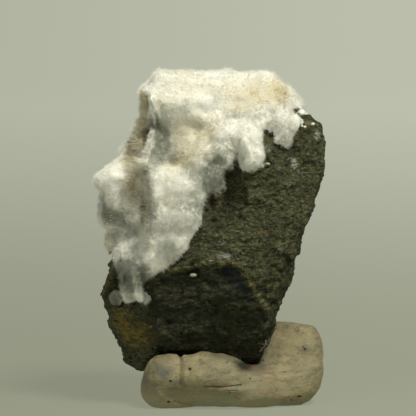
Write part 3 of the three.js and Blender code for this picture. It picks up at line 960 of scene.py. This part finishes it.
@dataclass(frozen=True)
class BeadFinish:
    """Smooth, slightly glassy white mineral.

    Attributes:
        name: the material's name.
        colour: its colour.
        gloss: its roughness.
    """

    name: str = "okenite_glassy"
    colour: Triple = light(146, 144, 124)
    gloss: float = 0.2

    def material(self) -> Material:
        """Builds the material.

        Returns:
            The material.
        """
        paint = Paint(self.name, self.colour)
        cloud = paint.noise(paint.point, 0.7, 3, 0.6)
        paint.stain(paint.ramp(cloud, 0.4, 0.7, 0.0, 0.5), OkeniteFinish.GREY)
        return paint.done(
            {
                "Roughness": self.gloss,
                "Normal": paint.bump(cloud * 0.1),
                "Subsurface Weight": 0.3,
                "Subsurface Radius": (1.0, 1.0, 0.9),
                "Subsurface Scale": 0.8 * MM,
            }
        )


@dataclass(frozen=True)
class FloorFinish:
    """A plain pale floor that grows lighter with its distance.

    Attributes:
        near: its colour round the specimen.
        glow_near: how much it is lit beside the lamps' light, round the specimen.
        glow_far: the same, far off.
        reach: how far off, in millimetres, it is half as near.
        left: the share of its glow on the left.
        right: the share of its glow on the right.
    """

    near: Triple = light(76, 78, 69)
    glow_near: Triple = light(138, 141, 122)
    glow_far: Triple = light(184, 188, 169)
    reach: float = 900.0
    left: float = 0.92
    right: float = 1.03

    def material(self) -> Material:
        """Builds the material.

        Returns:
            The material.
        """
        paint = Paint("floor", self.near)
        far = paint.ramp(self.reach / (paint.length(paint.point) + self.reach), 0.95, 0.15)
        paint.stain(far, (0.0, 0.0, 0.0))
        depth = paint.math("ABSOLUTE", paint.axis(paint.point, "Y")) + self.reach
        sideways = paint.ramp(paint.axis(paint.point, "X") / depth, -0.08, 0.06, self.left, self.right)
        return paint.done(
            {
                "Emission Color": paint.blend(far, self.glow_near, self.glow_far) * sideways,
                "Emission Strength": 1.0,
                "Roughness": 0.9,
                "Specular IOR Level": 0.1,
            }
        )


# ---- The pieces ----


@dataclass
class Basalt:
    """The chunk of basalt, with a broken, grainy surface.

    Attributes:
        voxel: the size of its faces in millimetres.
        soften: how many rounds of smoothing its skin gets.
        ledge: the height of its small broken steps.
        grain: the height of its grains.
    """

    voxel: float = 0.48
    soften: int = 1
    ledge: float = 0.25
    grain: float = 0.4

    def relief(self) -> Shaping:
        """Builds the tree that roughens the stone.

        Returns:
            The tree, with the inputs Ledge and Grain.
        """
        shape = Shaping("Basalt relief", "Ledge", "Grain")
        point = shape.point
        warp = shape.wobble(point, 6.0, 5.0)
        steps = shape.math("FRACT", shape.dot(point + warp, (0.16, 0.12, 0.3))) - 0.5
        grain = shape.noise(point * (1.0, 1.0, 1.7), 1.5, 4, 0.7) - 0.5
        chips = shape.facets((point + warp * 0.25) * (1.0, 1.0, 1.5), 4.6)
        flakes = shape.facets((point + warp * 0.1) * (1.0, 1.0, 1.6), 1.9)
        rough = (grain * 1.4 + chips * 0.75 + flakes * 0.7) * shape.given.out("Grain")
        shape.displace(shape.normal * ((steps * shape.given.out("Ledge") + rough) * MM))
        return shape

    def build(self) -> Object:
        """Makes the stone.

        Returns:
            The finished piece.
        """
        stone = merged_copy("basalt_matrix")
        skin(stone, self.voxel, self.soften)
        self.relief().put_on(stone, {"Ledge": self.ledge, "Grain": self.grain})
        piece = settle(stone, "basalt_stone", BasaltFinish().material(), smooth=True)
        return hand_in(piece, "basalt", "basalt_matrix")


@dataclass
class Felt:
    """The body of the okenite crust, under its fibres.

    Attributes:
        voxel: the size of its faces in millimetres.
        soften: how many rounds of smoothing its skin gets.
        inset: how far the body lies under the fibres' tips.
        puff: the height of its small puffs.
        tuft: the height of its tufts.
    """

    voxel: float = 0.5
    soften: int = 9
    inset: float = 0.5
    puff: float = 0.5
    tuft: float = 0.4

    # Where its skin swells, or sinks where the amount is below 0.
    SCULPT = (
        Patch((-27.6, 85.4), (0.9, 0.8), 0.9),
        Patch((-19.5, 101), (2, 2), -0.7),
        Patch((5, 100.5), (2.6, 2), -1.4),
        Patch((-31.6, 80), (1.8, 1.8), -1.0),
        Seam(((-38.2, 50.5), (-38.8, 46), (-38.2, 42)), 2.6, -1.6, 0.2),
        Patch((-41.4, 67.5), (2.4, 3), 0.7),
        Seam(((10, 78), (9.6, 74.5), (8, 72.2)), 1.8, -0.9),
        CREST,
        Seam(((-26.4, 92.7), (-25.8, 88.5), (-25.5, 84.6)), 0.8, -1.4),
        Seam(((-26.6, 86.6), (-30, 82), (-33.6, 76.8), (-36.6, 74.2)), 1.1, 0.6),
        Seam(((-5.4, 85.6), (-2, 86.9), (2, 87.1), (7, 86.6)), 1.1, -0.8),
        Patch((-28.4, 79.6), (3.0, 6.5), 1.7, 0.3, -20),
        Seam(((-30.6, 73), (-30.4, 66), (-30.6, 57)), 3.2, 1.7, 0.2),
        Seam(((-27.6, 73.5), (-27.6, 66)), 1.8, 1.6, 0.2),
        Seam(((-4.8, 79.2), (-0.6, 76.4)), 0.6, -0.5),
        Seam(((-2, 82), (0, 77)), 0.5, -0.4),
        Seam(((0.8, 80.4), (0.6, 76.6)), 0.6, -0.6),
    )

    # Where its front is pushed back, or pulled forwards where the amount is below 0.
    SHIFTS = (
        Panel(((0.6, 76.1), (0.0, 76.2), (-1.2, 73.4), (-0.8, 66), (3.2, 66), (3.4, 68.6)), 0.9, 5.0),
        Panel(((-14.6, 47.2), (-24.4, 40.6), (-24.4, 35), (-10, 35), (-8, 46)), 0.8, 3.5),
        Patch((-33, 39), (1.0, 3.2), 2.5, 0.4),
        Patch((-26.8, 36.4), (0.9, 3.2), 3.5, 0.4),
        Patch((-30.6, 35.4), (0.6, 3.0), 1.5, 0.3),
        Seam(((-27.0, 93), (-27.4, 85.4)), 4.4, -4.2, 0.2),
        Patch((-29, 80.6), (3.4, 5.0), -2.6, 0.2),
        Patch((-24.2, 88.4), (2.6, 4.4), -1.0),
        Seam(((-26.6, 75), (-26.5, 58)), 6.0, -3.0, 0.2),
        Patch((-11, 86.5), (5, 3), -1.0),
        Patch((-13, 77.4), (6.5, 8.4), -2.2, 0.3),
        Seam(((2.6, 80), (3.8, 74)), 1.8, -1.6, 0.2),
        Patch((-5, 76.8), (5.0, 3.6), -1.6, 0.3),
        Patch((-34.5, 66.6), (7.0, 4.0), -0.6, 0.2),
        Patch((-36.4, 45.5), (3.4, 6.0), -2.6, 0.2),
        Patch((-26.0, 47.5), (3.0, 5.0), -2.4, 0.2),
    )

    def relief(self) -> Shaping:
        """Builds the tree that gives the crust its small puffs and tufts.

        Returns:
            The tree, with the inputs Inset, Puff and Tuft.
        """
        shape = Shaping("Okenite relief", "Inset", "Puff", "Tuft")
        point = shape.point
        warp = shape.wobble(point, 2.6, 2.4)
        puffs = 0.45 - shape.cells(point + warp, 5.2, "SMOOTH_F1")
        tufts = 0.5 - shape.cells(point + warp * 0.5, 1.9)
        cloud = shape.noise(point, 1.1, 3, 0.65) - 0.5
        rough = 1 - shape.marks(point, SMOOTH_AREAS)
        height = puffs * shape.given.out("Puff") + (tufts + cloud) * rough * shape.given.out("Tuft")
        height = height + shape.marks(point, self.SCULPT) - shape.given.out("Inset")
        shape.displace(shape.normal * (height * MM) + (0.0, MM, 0.0) * shape.marks(point, self.SHIFTS))
        return shape

    def build(self, finish: Material) -> Object:
        """Makes the crust's body.

        Args:
            finish: its material.

        Returns:
            The finished piece.
        """
        crust = merged_copy("okenite_crust")
        skin(crust, self.voxel, self.soften)
        self.relief().put_on(crust, {"Inset": self.inset, "Puff": self.puff, "Tuft": self.tuft})
        piece = settle(crust, "okenite_felt", finish, smooth=True)
        return hand_in(piece, "okenite", "okenite_crust")


class Region(Enum):
    """The parts of the crust that carry one piece of fibres each, as lowest and highest corners."""

    FRONT_LOW = ((-FAR, -FAR, 0), (FAR, -6, 63))
    FRONT_MIDDLE = ((-FAR, -FAR, 63), (FAR, -6, 80))
    FRONT_HIGH = ((-FAR, -FAR, 80), (FAR, -3, TALL))
    SIDE = ((-FAR, -6, 0), (FAR, 8, 80))
    TOP = ((-FAR, -3, 80), (FAR, 8, TALL))
    BACK = ((-FAR, 8, 0), (FAR, FAR, TALL))


@dataclass(frozen=True)
class Coat:
    """A coat of fine fibres that stand on a surface in tufts and sprays.

    Attributes:
        name: the piece's name.
        low: the lowest corner of the part of the surface that has them.
        high: the highest corner.
        count: how many stand on a square millimetre.
        length: their length.
        width: their width at the root.
        lift: how much they stand up.
        spray: how much they spread from the middle of a spray.
        clump: how much they lean together into tufts.
        comb: how much they lean with their neighbours.
        stray: how much each leans its own way.
        seed: the seed of their places.
        flow: which way they all lean.
        where: the marks that they are limited to, or none.
    """

    name: str
    low: Triple = (-FAR, -FAR, 0)
    high: Triple = (FAR, FAR, TALL)
    count: float = 26.0
    length: float = 1.5
    width: float = 0.085
    lift: float = 0.55
    spray: float = 0.6
    clump: float = 0.8
    comb: float = 1.5
    stray: float = 0.5
    seed: int = 1
    flow: Triple = (0.0, 0.0, 0.0)
    where: tuple[Mark, ...] = ()

    SPRAY_SIZE = 3.4
    TUFT_SIZE = 0.75
    COMB_SIZE = 4.0
    SUNK = 0.2  # how deep the roots are
    COVER = 1.4  # nothing grows where the stone lies closer over the surface
    SHORTEST, LONGEST = 0.55, 1.15  # as shares of the length

    def density(self, shape: Shaping) -> Sock:
        """Gives how many fibres stand on a square metre.

        Args:
            shape: the tree.

        Returns:
            The number, which is 0 outside the coat's corners and marks and under the stone.
        """
        rock = shape.make("GeometryNodeObjectInfo", None, {"Object": shape.given.out("Stone")}, "Geometry")
        ray = {
            "Target Geometry": rock,
            "Source Position": shape.point * MM,
            "Ray Direction": shape.normal,
            "Ray Length": self.COVER * MM,
        }
        free = 1 - shape.make("GeometryNodeRaycast", None, ray, "Is Hit")
        count = shape.given.out("Count") * free / (MM * MM)
        for label, low, high in zip("XYZ", self.low, self.high):
            value = shape.axis(shape.point, label)
            count = count * shape.math("GREATER_THAN", value, low) * shape.math("LESS_THAN", value, high)
        return count * shape.marks(shape.point, self.where) if self.where else count

    def tree(self, finish: Material) -> Shaping:
        """Builds the tree that plants the fibres.

        Args:
            finish: the fibres' material.

        Returns:
            The tree, with the inputs Count, Length, Width, Seed and Stone.
        """
        kinds = {"Seed": "NodeSocketInt", "Stone": "NodeSocketObject"}
        shape = Shaping(f"{self.name} planting", "Count", "Length", "Width", **kinds)
        given = shape.given
        values = {"Mesh": given, "Density": self.density(shape), "Seed": given.out("Seed")}
        points = shape.make("GeometryNodeDistributePointsOnFaces", None, values)
        upright = points.out("Normal")
        values = {"Geometry": points, "Offset": upright * (-self.SUNK * MM)}
        sunk = shape.make("GeometryNodeSetPosition", None, values)
        cone = {"Vertices": 3, "Radius Bottom": 1.0, "Radius Top": 0.0, "Depth": 1.0}
        spike = shape.make("GeometryNodeMeshCone", {"fill_type": "NGON"}, cone)
        toward = {"Vector": self.lean(shape, upright)}
        turn = shape.make("FunctionNodeAlignRotationToVector", {"axis": "Z"}, toward)
        width = given.out("Width") * (0.5 * MM)
        size = shape.make("ShaderNodeCombineXYZ", None, {0: width, 1: width, 2: self.lengths(shape) * MM})
        values = {"Points": sunk, "Instance": spike, "Rotation": turn, "Scale": size}
        planted = shape.make("GeometryNodeInstanceOnPoints", None, values)
        real = shape.make("GeometryNodeRealizeInstances", None, {"Geometry": planted})
        shape.close(shape.make("GeometryNodeSetMaterial", None, {"Geometry": real, "Material": finish}))
        return shape

    def lengths(self, shape: Shaping) -> Sock:
        """Gives each fibre's length.

        Args:
            shape: the tree.

        Returns:
            The lengths in millimetres.
        """
        spread = {"Min": self.SHORTEST, "Max": self.LONGEST, "Seed": self.seed + 40}
        own = shape.make("FunctionNodeRandomValue", {"data_type": "FLOAT"}, spread, "Value")
        patchy = shape.ramp(shape.noise(shape.point, 2.2, 2, 0.6), 0.35, 0.65, 0.65, 1.2)
        short = 1 - shape.marks(shape.point, SMOOTH_AREAS) * 0.45
        return shape.given.out("Length") * own * patchy * short

    def lean(self, shape: Shaping, upright: Sock) -> Sock:
        """Gives the direction in which each fibre leans.

        Args:
            shape: the tree.
            upright: the surface's normals at the fibres' roots.

        Returns:
            The directions.
        """
        point = shape.point
        warp = shape.wobble(point, 1.8, 1.2, 2)
        middle = shape.cells(point + warp, self.SPRAY_SIZE).out("Position") - warp
        spray = (point - middle) * (1 / self.SPRAY_SIZE)
        clump = shape.cells(point, self.TUFT_SIZE).out("Position") - point
        comb = shape.wobble(point + (9, 4, 27), self.COMB_SIZE, 1.0)
        around = {"Min": (-1, -1, -1), "Max": (1, 1, 1), "Seed": self.seed + 80}
        stray = shape.make("FunctionNodeRandomValue", {"data_type": "FLOAT_VECTOR"}, around, "Value")
        toward = upright * self.lift + spray * self.spray + clump * self.clump
        calm = 1 - shape.marks(point, SMOOTH_AREAS) * 0.5
        return shape.unit(toward + comb * calm * self.comb + stray * self.stray + self.flow)

    def grow(self, ground: Object, stone: Object, finish: Material) -> Object:
        """Plants the fibres on a piece.

        Args:
            ground: the piece that they stand on.
            stone: the stone.
            finish: the fibres' material.

        Returns:
            The finished piece.
        """
        bed = show(f"{self.name}_bed", ground.data.copy())
        values = {"Count": self.count, "Length": self.length, "Width": self.width, "Seed": self.seed}
        self.tree(finish).put_on(bed, values | {"Stone": stone})
        return hand_in(settle(bed, self.name, finish, smooth=False), "okenite")


NEEDLE_PLACES = patches(
    (-29, 66, 3, 12, 1.0, 0.5), (-28, 79, 3, 6, 1.0, 0.5), (-35, 56, 4, 4, 0.5, 0.5),
    (-24, 47, 2, 8, 0.5, 0.5),
)
TOOTH_PLACES = (
    CREST,
    Seam(((-25.6, 65.5), (-25.8, 58), (-25, 50)), 1.6),
    Seam(((-26.6, 86.6), (-30, 82), (-33.6, 76.8)), 1.2, 0.6),
)
SPARK_PLACES = tuple(
    Patch(at, (0.8, 0.6), 1.0, 0.4)
    for at in (
        (-27, 81.7), (-27.3, 79.3), (-24.9, 79.9), (-31.5, 69.1), (-27.2, 58.7), (-25.5, 52.9), (-24.3, 50.3),
        (-28.2, 43.6), (-27, 70), (-24.6, 72),
    )
)
FRINGE_PLACES = (
    Seam(((-8.6, 58), (-10.4, 53.4), (-14.6, 48.6), (-19.4, 45), (-24.6, 42)), 1.5, 1.0, 0.3),
    Seam(((-35.6, 47), (-33.4, 41), (-31.6, 35)), 0.9, 0.8, 0.3),
    Seam(((-29.4, 43), (-28.6, 36), (-29, 32.6)), 1.3, 1.0, 0.3),
    Seam(((-3.4, 75.4), (0.2, 77.2)), 0.8, 0.7),
    Seam(((12.8, 84), (15.6, 81)), 1.0, 0.8),
)
SPECK_PLACES = patches(
    (17, 74, 1.8, 1.8), (24.5, 81, 1.2, 2), (-4, 50.5, 1.2, 1.0), (-3, 46, 4, 0.9, 0.5),
)


@dataclass(frozen=True)
class Fibres:
    """The fine fibres, and the needles, sprigs, sparks, teeth, fringe and specks among and beside them.

    Attributes:
        count: how many fine fibres stand on a square millimetre.
        back_count: the same on the back.
    """

    count: float = 26.0
    back_count: float = 21.0

    NEEDLES = Coat(
        "okenite_needles", count=2, length=3.2, width=0.16, lift=0.7, spray=0.4, clump=0.0, comb=0.5,
        stray=0.4, seed=31, flow=(-0.9, -0.5, 0.0), where=NEEDLE_PLACES,
    )
    SPRIGS = Coat(
        "okenite_sprigs", high=(FAR, 0, TALL), count=2, length=1.2, width=0.2, lift=0.7, stray=0.8, seed=81
    )
    SPARKS = Coat(
        "okenite_sparks", count=7, length=1.7, width=0.4, lift=0.8, spray=0.2, clump=0.0, comb=0.3,
        stray=0.4, seed=71, flow=(-1.0, -0.8, 0.2), where=SPARK_PLACES,
    )
    TEETH = Coat(
        "okenite_teeth", count=6, length=1.9, width=0.2, lift=0.4, stray=0.4, seed=61,
        flow=(-1.0, -0.5, 0.0), where=TOOTH_PLACES,
    )
    FRINGE = Coat(
        "okenite_fringe", count=9, length=1.7, width=0.15, lift=0.5, comb=0.6, seed=91,
        flow=(-0.1, -0.2, -0.7), where=FRINGE_PLACES,
    )
    SPECKS = Coat("okenite_specks", count=14, length=0.6, width=0.12, seed=41, where=SPECK_PLACES)

    def build(self, crust: Object, stone: Object, dull: Material, silk: Material) -> None:
        """Plants them all.

        Args:
            crust: the crust's body.
            stone: the stone.
            dull: the material of the fine fibres.
            silk: the material of those that shine.
        """
        for number, region in enumerate(Region):
            low, high = region.value
            count = self.back_count if region is Region.BACK else self.count
            coat = Coat(f"okenite_fibres_{region.name.lower()}", low, high, count, seed=number + 1)
            coat.grow(crust, stone, dull)
        self.NEEDLES.grow(crust, stone, silk)
        self.SPRIGS.grow(crust, stone, dull)
        for coat in (self.SPARKS, self.TEETH, self.FRINGE):
            coat.grow(crust, stone, silk)
        self.SPECKS.grow(stone, stone, dull)


@dataclass
class Crumbs:
    """Crumbs of okenite on the stone's upper right corner.

    Attributes:
        places: the x, y and z near which each lies, and its radius, in millimetres.
        lumps: how uneven they are.
        lump_size: the width of their unevenness, as a share of their radius.
    """

    places: tuple[tuple[float, float, float, float], ...] = (
        (19.6, -3, 87.2, 1.2), (20.8, -3, 85.8, 0.9), (19.2, -5, 84.6, 0.8), (22.0, -2, 85.6, 0.7),
        (20.4, -5, 83.6, 0.5), (22.8, -4, 84.2, 0.5), (21.0, 3, 86.6, 1.1), (18.6, -5, 82.8, 0.45),
    )
    lumps: float = 0.35
    lump_size: float = 0.6

    COAT = Coat("okenite_crumb_fibres", count=26, length=0.7, width=0.1, seed=51)

    def build(self, stone: Object, felt: Material, fibres: Material) -> None:
        """Makes the crumbs, each sunk into the stone's surface, and their fibres.

        Args:
            stone: the stone.
            felt: the crumbs' material.
            fibres: the material of their fibres.
        """
        faces = surface(stone)
        work = bmesh.new()
        for x, y, z, radius in self.places:
            place = faces.find_nearest(Vector((x, y, z)) * MM)[0]
            made = bmesh.ops.create_icosphere(work, subdivisions=3, radius=radius * MM)
            for vertex in made["verts"]:
                swell = noise.noise(vertex.co / (self.lump_size * radius * MM) + place / MM)
                vertex.co = place + vertex.co * (1 + self.lumps * swell)
        mesh = bpy.data.meshes.new("okenite_crumbs")
        work.to_mesh(mesh)
        work.free()
        mesh.materials.append(felt)
        mesh.polygons.foreach_set("use_smooth", [True] * len(mesh.polygons))
        crumbs = hand_in(show("okenite_crumbs", mesh), "okenite")
        self.COAT.grow(crumbs, stone, fibres)


@dataclass
class PocketBall:
    """The separate ball of okenite in the pocket at the stone's left corner.

    Attributes:
        voxel: the size of its faces in millimetres.
        soften: how many rounds of smoothing its skin gets.
        inset: how far its body lies under the fibres' tips.
        puff: the height of its small puffs.
        tuft: the height of its tufts.
    """

    voxel: float = 0.3
    soften: int = 1
    inset: float = 0.25
    puff: float = 0.4
    tuft: float = 0.5

    COAT = Coat("okenite_pocket_fibres", count=30, length=0.9, comb=1.2, seed=21)

    def build(self, felt: Material, fibres: Material, stone: Object) -> None:
        """Makes the ball and its fibres.

        Args:
            felt: the material of the ball's body.
            fibres: the material of its fibres.
            stone: the stone.
        """
        ball = merged_copy("okenite_pocket_puff")
        skin(ball, self.voxel, self.soften)
        Felt().relief().put_on(ball, {"Inset": self.inset, "Puff": self.puff, "Tuft": self.tuft})
        body = settle(ball, "okenite_pocket_ball", felt, smooth=True)
        hand_in(body, "okenite", "okenite_pocket_puff")
        self.COAT.grow(body, stone, fibres)


@dataclass
class Bead:
    """A glassy bead at the bottom of an opened bubble.

    Attributes:
        node: the CAD node that it stands for.
        name: the piece's name.
        share: its size beside the node's, along x, y and z.
        shift: how far its middle lies from the node's, in millimetres.
        voxel: the size of its faces in millimetres.
        soften: how many rounds of smoothing its skin gets.
    """

    node: str
    name: str
    share: Triple = (1.0, 0.75, 0.55)
    shift: Triple = (0.1, 0.2, -0.4)
    voxel: float = 0.16
    soften: int = 2

    def build(self, finish: Material) -> Object:
        """Makes the bead.

        Args:
            finish: its material.

        Returns:
            The finished piece.
        """
        bead = merged_copy(self.node)
        skin(bead, self.voxel, self.soften)
        low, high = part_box(self.node)
        middle = (low + high) / 2
        shrink = Matrix.Diagonal((*self.share, 1.0)) @ Matrix.Translation(-middle)
        bead.data.transform(Matrix.Translation(middle + Vector(self.shift) * MM) @ shrink)
        return hand_in(settle(bead, self.name, finish, smooth=True), "okenite", self.node)


@dataclass
class ClayLump:
    """The lump of modelling clay, with finger dents and creases.

    Attributes:
        voxel: the size of its faces in millimetres.
        soften: how many rounds of smoothing its skin gets.
        knead: the height of its soft unevenness.
    """

    voxel: float = 0.5
    soften: int = 4
    knead: float = 0.7

    DENTS = (
        Patch((-9, 12.8), (2.6, 2.4), -0.6),
        Patch((-14, 12.2), (1.8, 2), -0.35),
        Patch((2, 8.5), (6, 2.6), -0.4),
        Patch((22, 14), (4, 3.4), -0.5),
        Patch((-23, 7), (3, 3), -0.4),
        Seam(((-16.4, 18), (-15.9, 13), (-16.2, 7.5)), 1.0, -0.8),
        Seam(((-9, 7.2), (-2, 7.0), (1.8, 7.4)), 0.6, -0.35),
        Seam(((12, 9.6), (20, 10.4)), 0.7, -0.3),
        Seam(((-18, 2.2), (-12, 1.2)), 0.6, -0.3),
    )

    def relief(self) -> Shaping:
        """Builds the tree that kneads the clay.

        Returns:
            The tree, with the input Knead.
        """
        shape = Shaping("Clay relief", "Knead")
        soft = shape.noise(shape.point, 6.5, 2, 0.5) - 0.5
        height = soft * shape.given.out("Knead") * 2.0 + shape.marks(shape.point, self.DENTS)
        rise = shape.ramp(shape.axis(shape.point, "Z"), 0.2, 1.6)
        shape.displace(shape.normal * (height * rise * MM))
        return shape

    def build(self) -> Object:
        """Makes the lump.

        Returns:
            The finished piece.
        """
        lump = merged_copy("clay_foot")
        skin(lump, self.voxel, self.soften)
        self.relief().put_on(lump, {"Knead": self.knead})
        piece = settle(lump, "clay_lump", ClayFinish().material(), smooth=True)
        return hand_in(piece, "clay", "clay_foot")


@dataclass(frozen=True)
class Lamp:
    """A soft round lamp that points at the specimen.

    Attributes:
        name: its name.
        azimuth: how far right of the front it stands, in degrees.
        elevation: how high it stands, in degrees.
        distance: its distance in metres.
        size: its width in metres.
        power: its power in watts.
        colour: the colour of its light.
    """

    name: str
    azimuth: float
    elevation: float
    distance: float
    size: float
    power: float
    colour: Triple = (1.0, 0.99, 0.88)

    def build(self, target: Vector) -> None:
        """Makes the lamp.

        Args:
            target: the point that it shines at, in metres.
        """
        turn, rise = math.radians(self.azimuth), math.radians(self.elevation)
        away = Vector((math.sin(turn) * math.cos(rise), -math.cos(turn) * math.cos(rise), math.sin(rise)))
        data = bpy.data.lights.new(self.name, "AREA")
        data.shape = "DISK"
        data.size = self.size
        data.energy = self.power
        data.color = self.colour
        aim(self.name, data, target + away * self.distance, -away)


@dataclass
class Studio:
    """The camera, the lights and the pale floor, which runs up into a wall all round.

    Attributes:
        target: the point that the camera and the lamps point at, in millimetres.
        distance: how far the camera is from it.
        elevation: how far the camera looks down, in degrees.
        lens: the lens in millimetres.
        sensor: the width of the camera's sensor in millimetres.
        lamps: the lamps.
        fill: how strong the light from all round is.
        flat: how far the floor is flat, in metres.
        rim: the radius of the bend round it.
        top: how high the wall reaches.
    """

    target: Triple = (-8.1, 0.0, 59.15)
    distance: float = 900.0
    elevation: float = 4.0
    lens: float = 259.6
    sensor: float = 36.0
    lamps: tuple[Lamp, ...] = (Lamp("key", 34, 52, 0.7, 0.22, 5.1), Lamp("side", -38, 24, 0.9, 0.5, 1.4))
    fill: float = 0.12
    flat: float = 2.6
    rim: float = 0.5
    top: float = 0.9

    TURNS = 96  # the floor's faces on a round
    BEND = 14  # the faces across its bend
    RINGS = 4  # the faces across its flat part
    CLIP = (0.05, 50.0)  # the nearest and the farthest that the camera sees, in metres
    FILL_COLOUR = (0.98, 1.0, 0.88, 1.0)

    def camera(self) -> None:
        """Makes the camera and gives it to the scene."""
        rise = math.radians(self.elevation)
        away = Vector((0, -math.cos(rise), math.sin(rise)))
        data = bpy.data.cameras.new("camera")
        data.lens = self.lens
        data.sensor_width = self.sensor
        data.clip_start, data.clip_end = self.CLIP
        place = (Vector(self.target) + away * self.distance) * MM
        bpy.context.scene.camera = aim("camera", data, place, -away)

    def floor(self) -> None:
        """Makes the floor with its raised rim."""
        turns, flat, rim = self.TURNS, self.flat, self.rim
        profile = [(flat * k / self.RINGS, 0.0) for k in range(1, self.RINGS + 1)]
        quarter = [math.pi / 2 * k / self.BEND for k in range(1, self.BEND + 1)]
        profile += [(flat + rim * math.sin(a), rim * (1 - math.cos(a))) for a in quarter]
        profile.append((flat + rim, self.top))
        rounds = [math.tau * k / turns for k in range(turns)]
        points = [(0.0, 0.0, 0.0)]
        points += [(r * math.cos(a), r * math.sin(a), z) for r, z in profile for a in rounds]
        faces = [(0, 1 + k, 1 + (k + 1) % turns) for k in range(turns)]
        for start in range(1, 1 + (len(profile) - 1) * turns, turns):
            for k in range(turns):
                n = (k + 1) % turns
                faces.append((start + k, start + turns + k, start + turns + n, start + n))
        mesh = bpy.data.meshes.new("floor")
        mesh.from_pydata(points, [], faces)
        mesh.polygons.foreach_set("use_smooth", [True] * len(faces))
        mesh.materials.append(FloorFinish().material())
        show("floor", mesh)

    def build(self) -> None:
        """Makes the studio."""
        self.camera()
        self.floor()
        for lamp in self.lamps:
            lamp.build(Vector(self.target) * MM)
        world = bpy.data.worlds.new("studio")
        world.use_nodes = True
        background = world.node_tree.nodes["Background"]
        background.inputs["Color"].default_value = self.FILL_COLOUR
        background.inputs["Strength"].default_value = self.fill
        bpy.context.scene.world = world
        bpy.context.scene.view_settings.view_transform = "Standard"


def main() -> None:
    """Builds the specimen and the studio round it."""
    logging.basicConfig(level=logging.INFO, format="%(name)s %(message)s")
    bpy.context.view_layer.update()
    Studio().build()
    felt = OkeniteFinish("okenite_felt", light(240, 238, 230), gloss=0.8, bump=0.25, depth=0.5).material()
    dull = OkeniteFinish("okenite_fibre", light(244, 243, 236), gloss=0.6, bump=0.0, depth=0.0).material()
    glassy = BeadFinish().material()
    silk = BeadFinish("okenite_silk", light(246, 244, 232), gloss=0.3).material()
    stone = Basalt().build()
    crust = Felt().build(felt)
    Fibres().build(crust, stone, dull, silk)
    Crumbs().build(stone, felt, dull)
    PocketBall().build(felt, dull, stone)
    Bead("okenite_bead_front", "bead_in_front_bubble").build(glassy)
    Bead("okenite_bead_upper", "bead_in_upper_bubble").build(glassy)
    ClayLump().build()


if __name__ == "__main__":
    main()
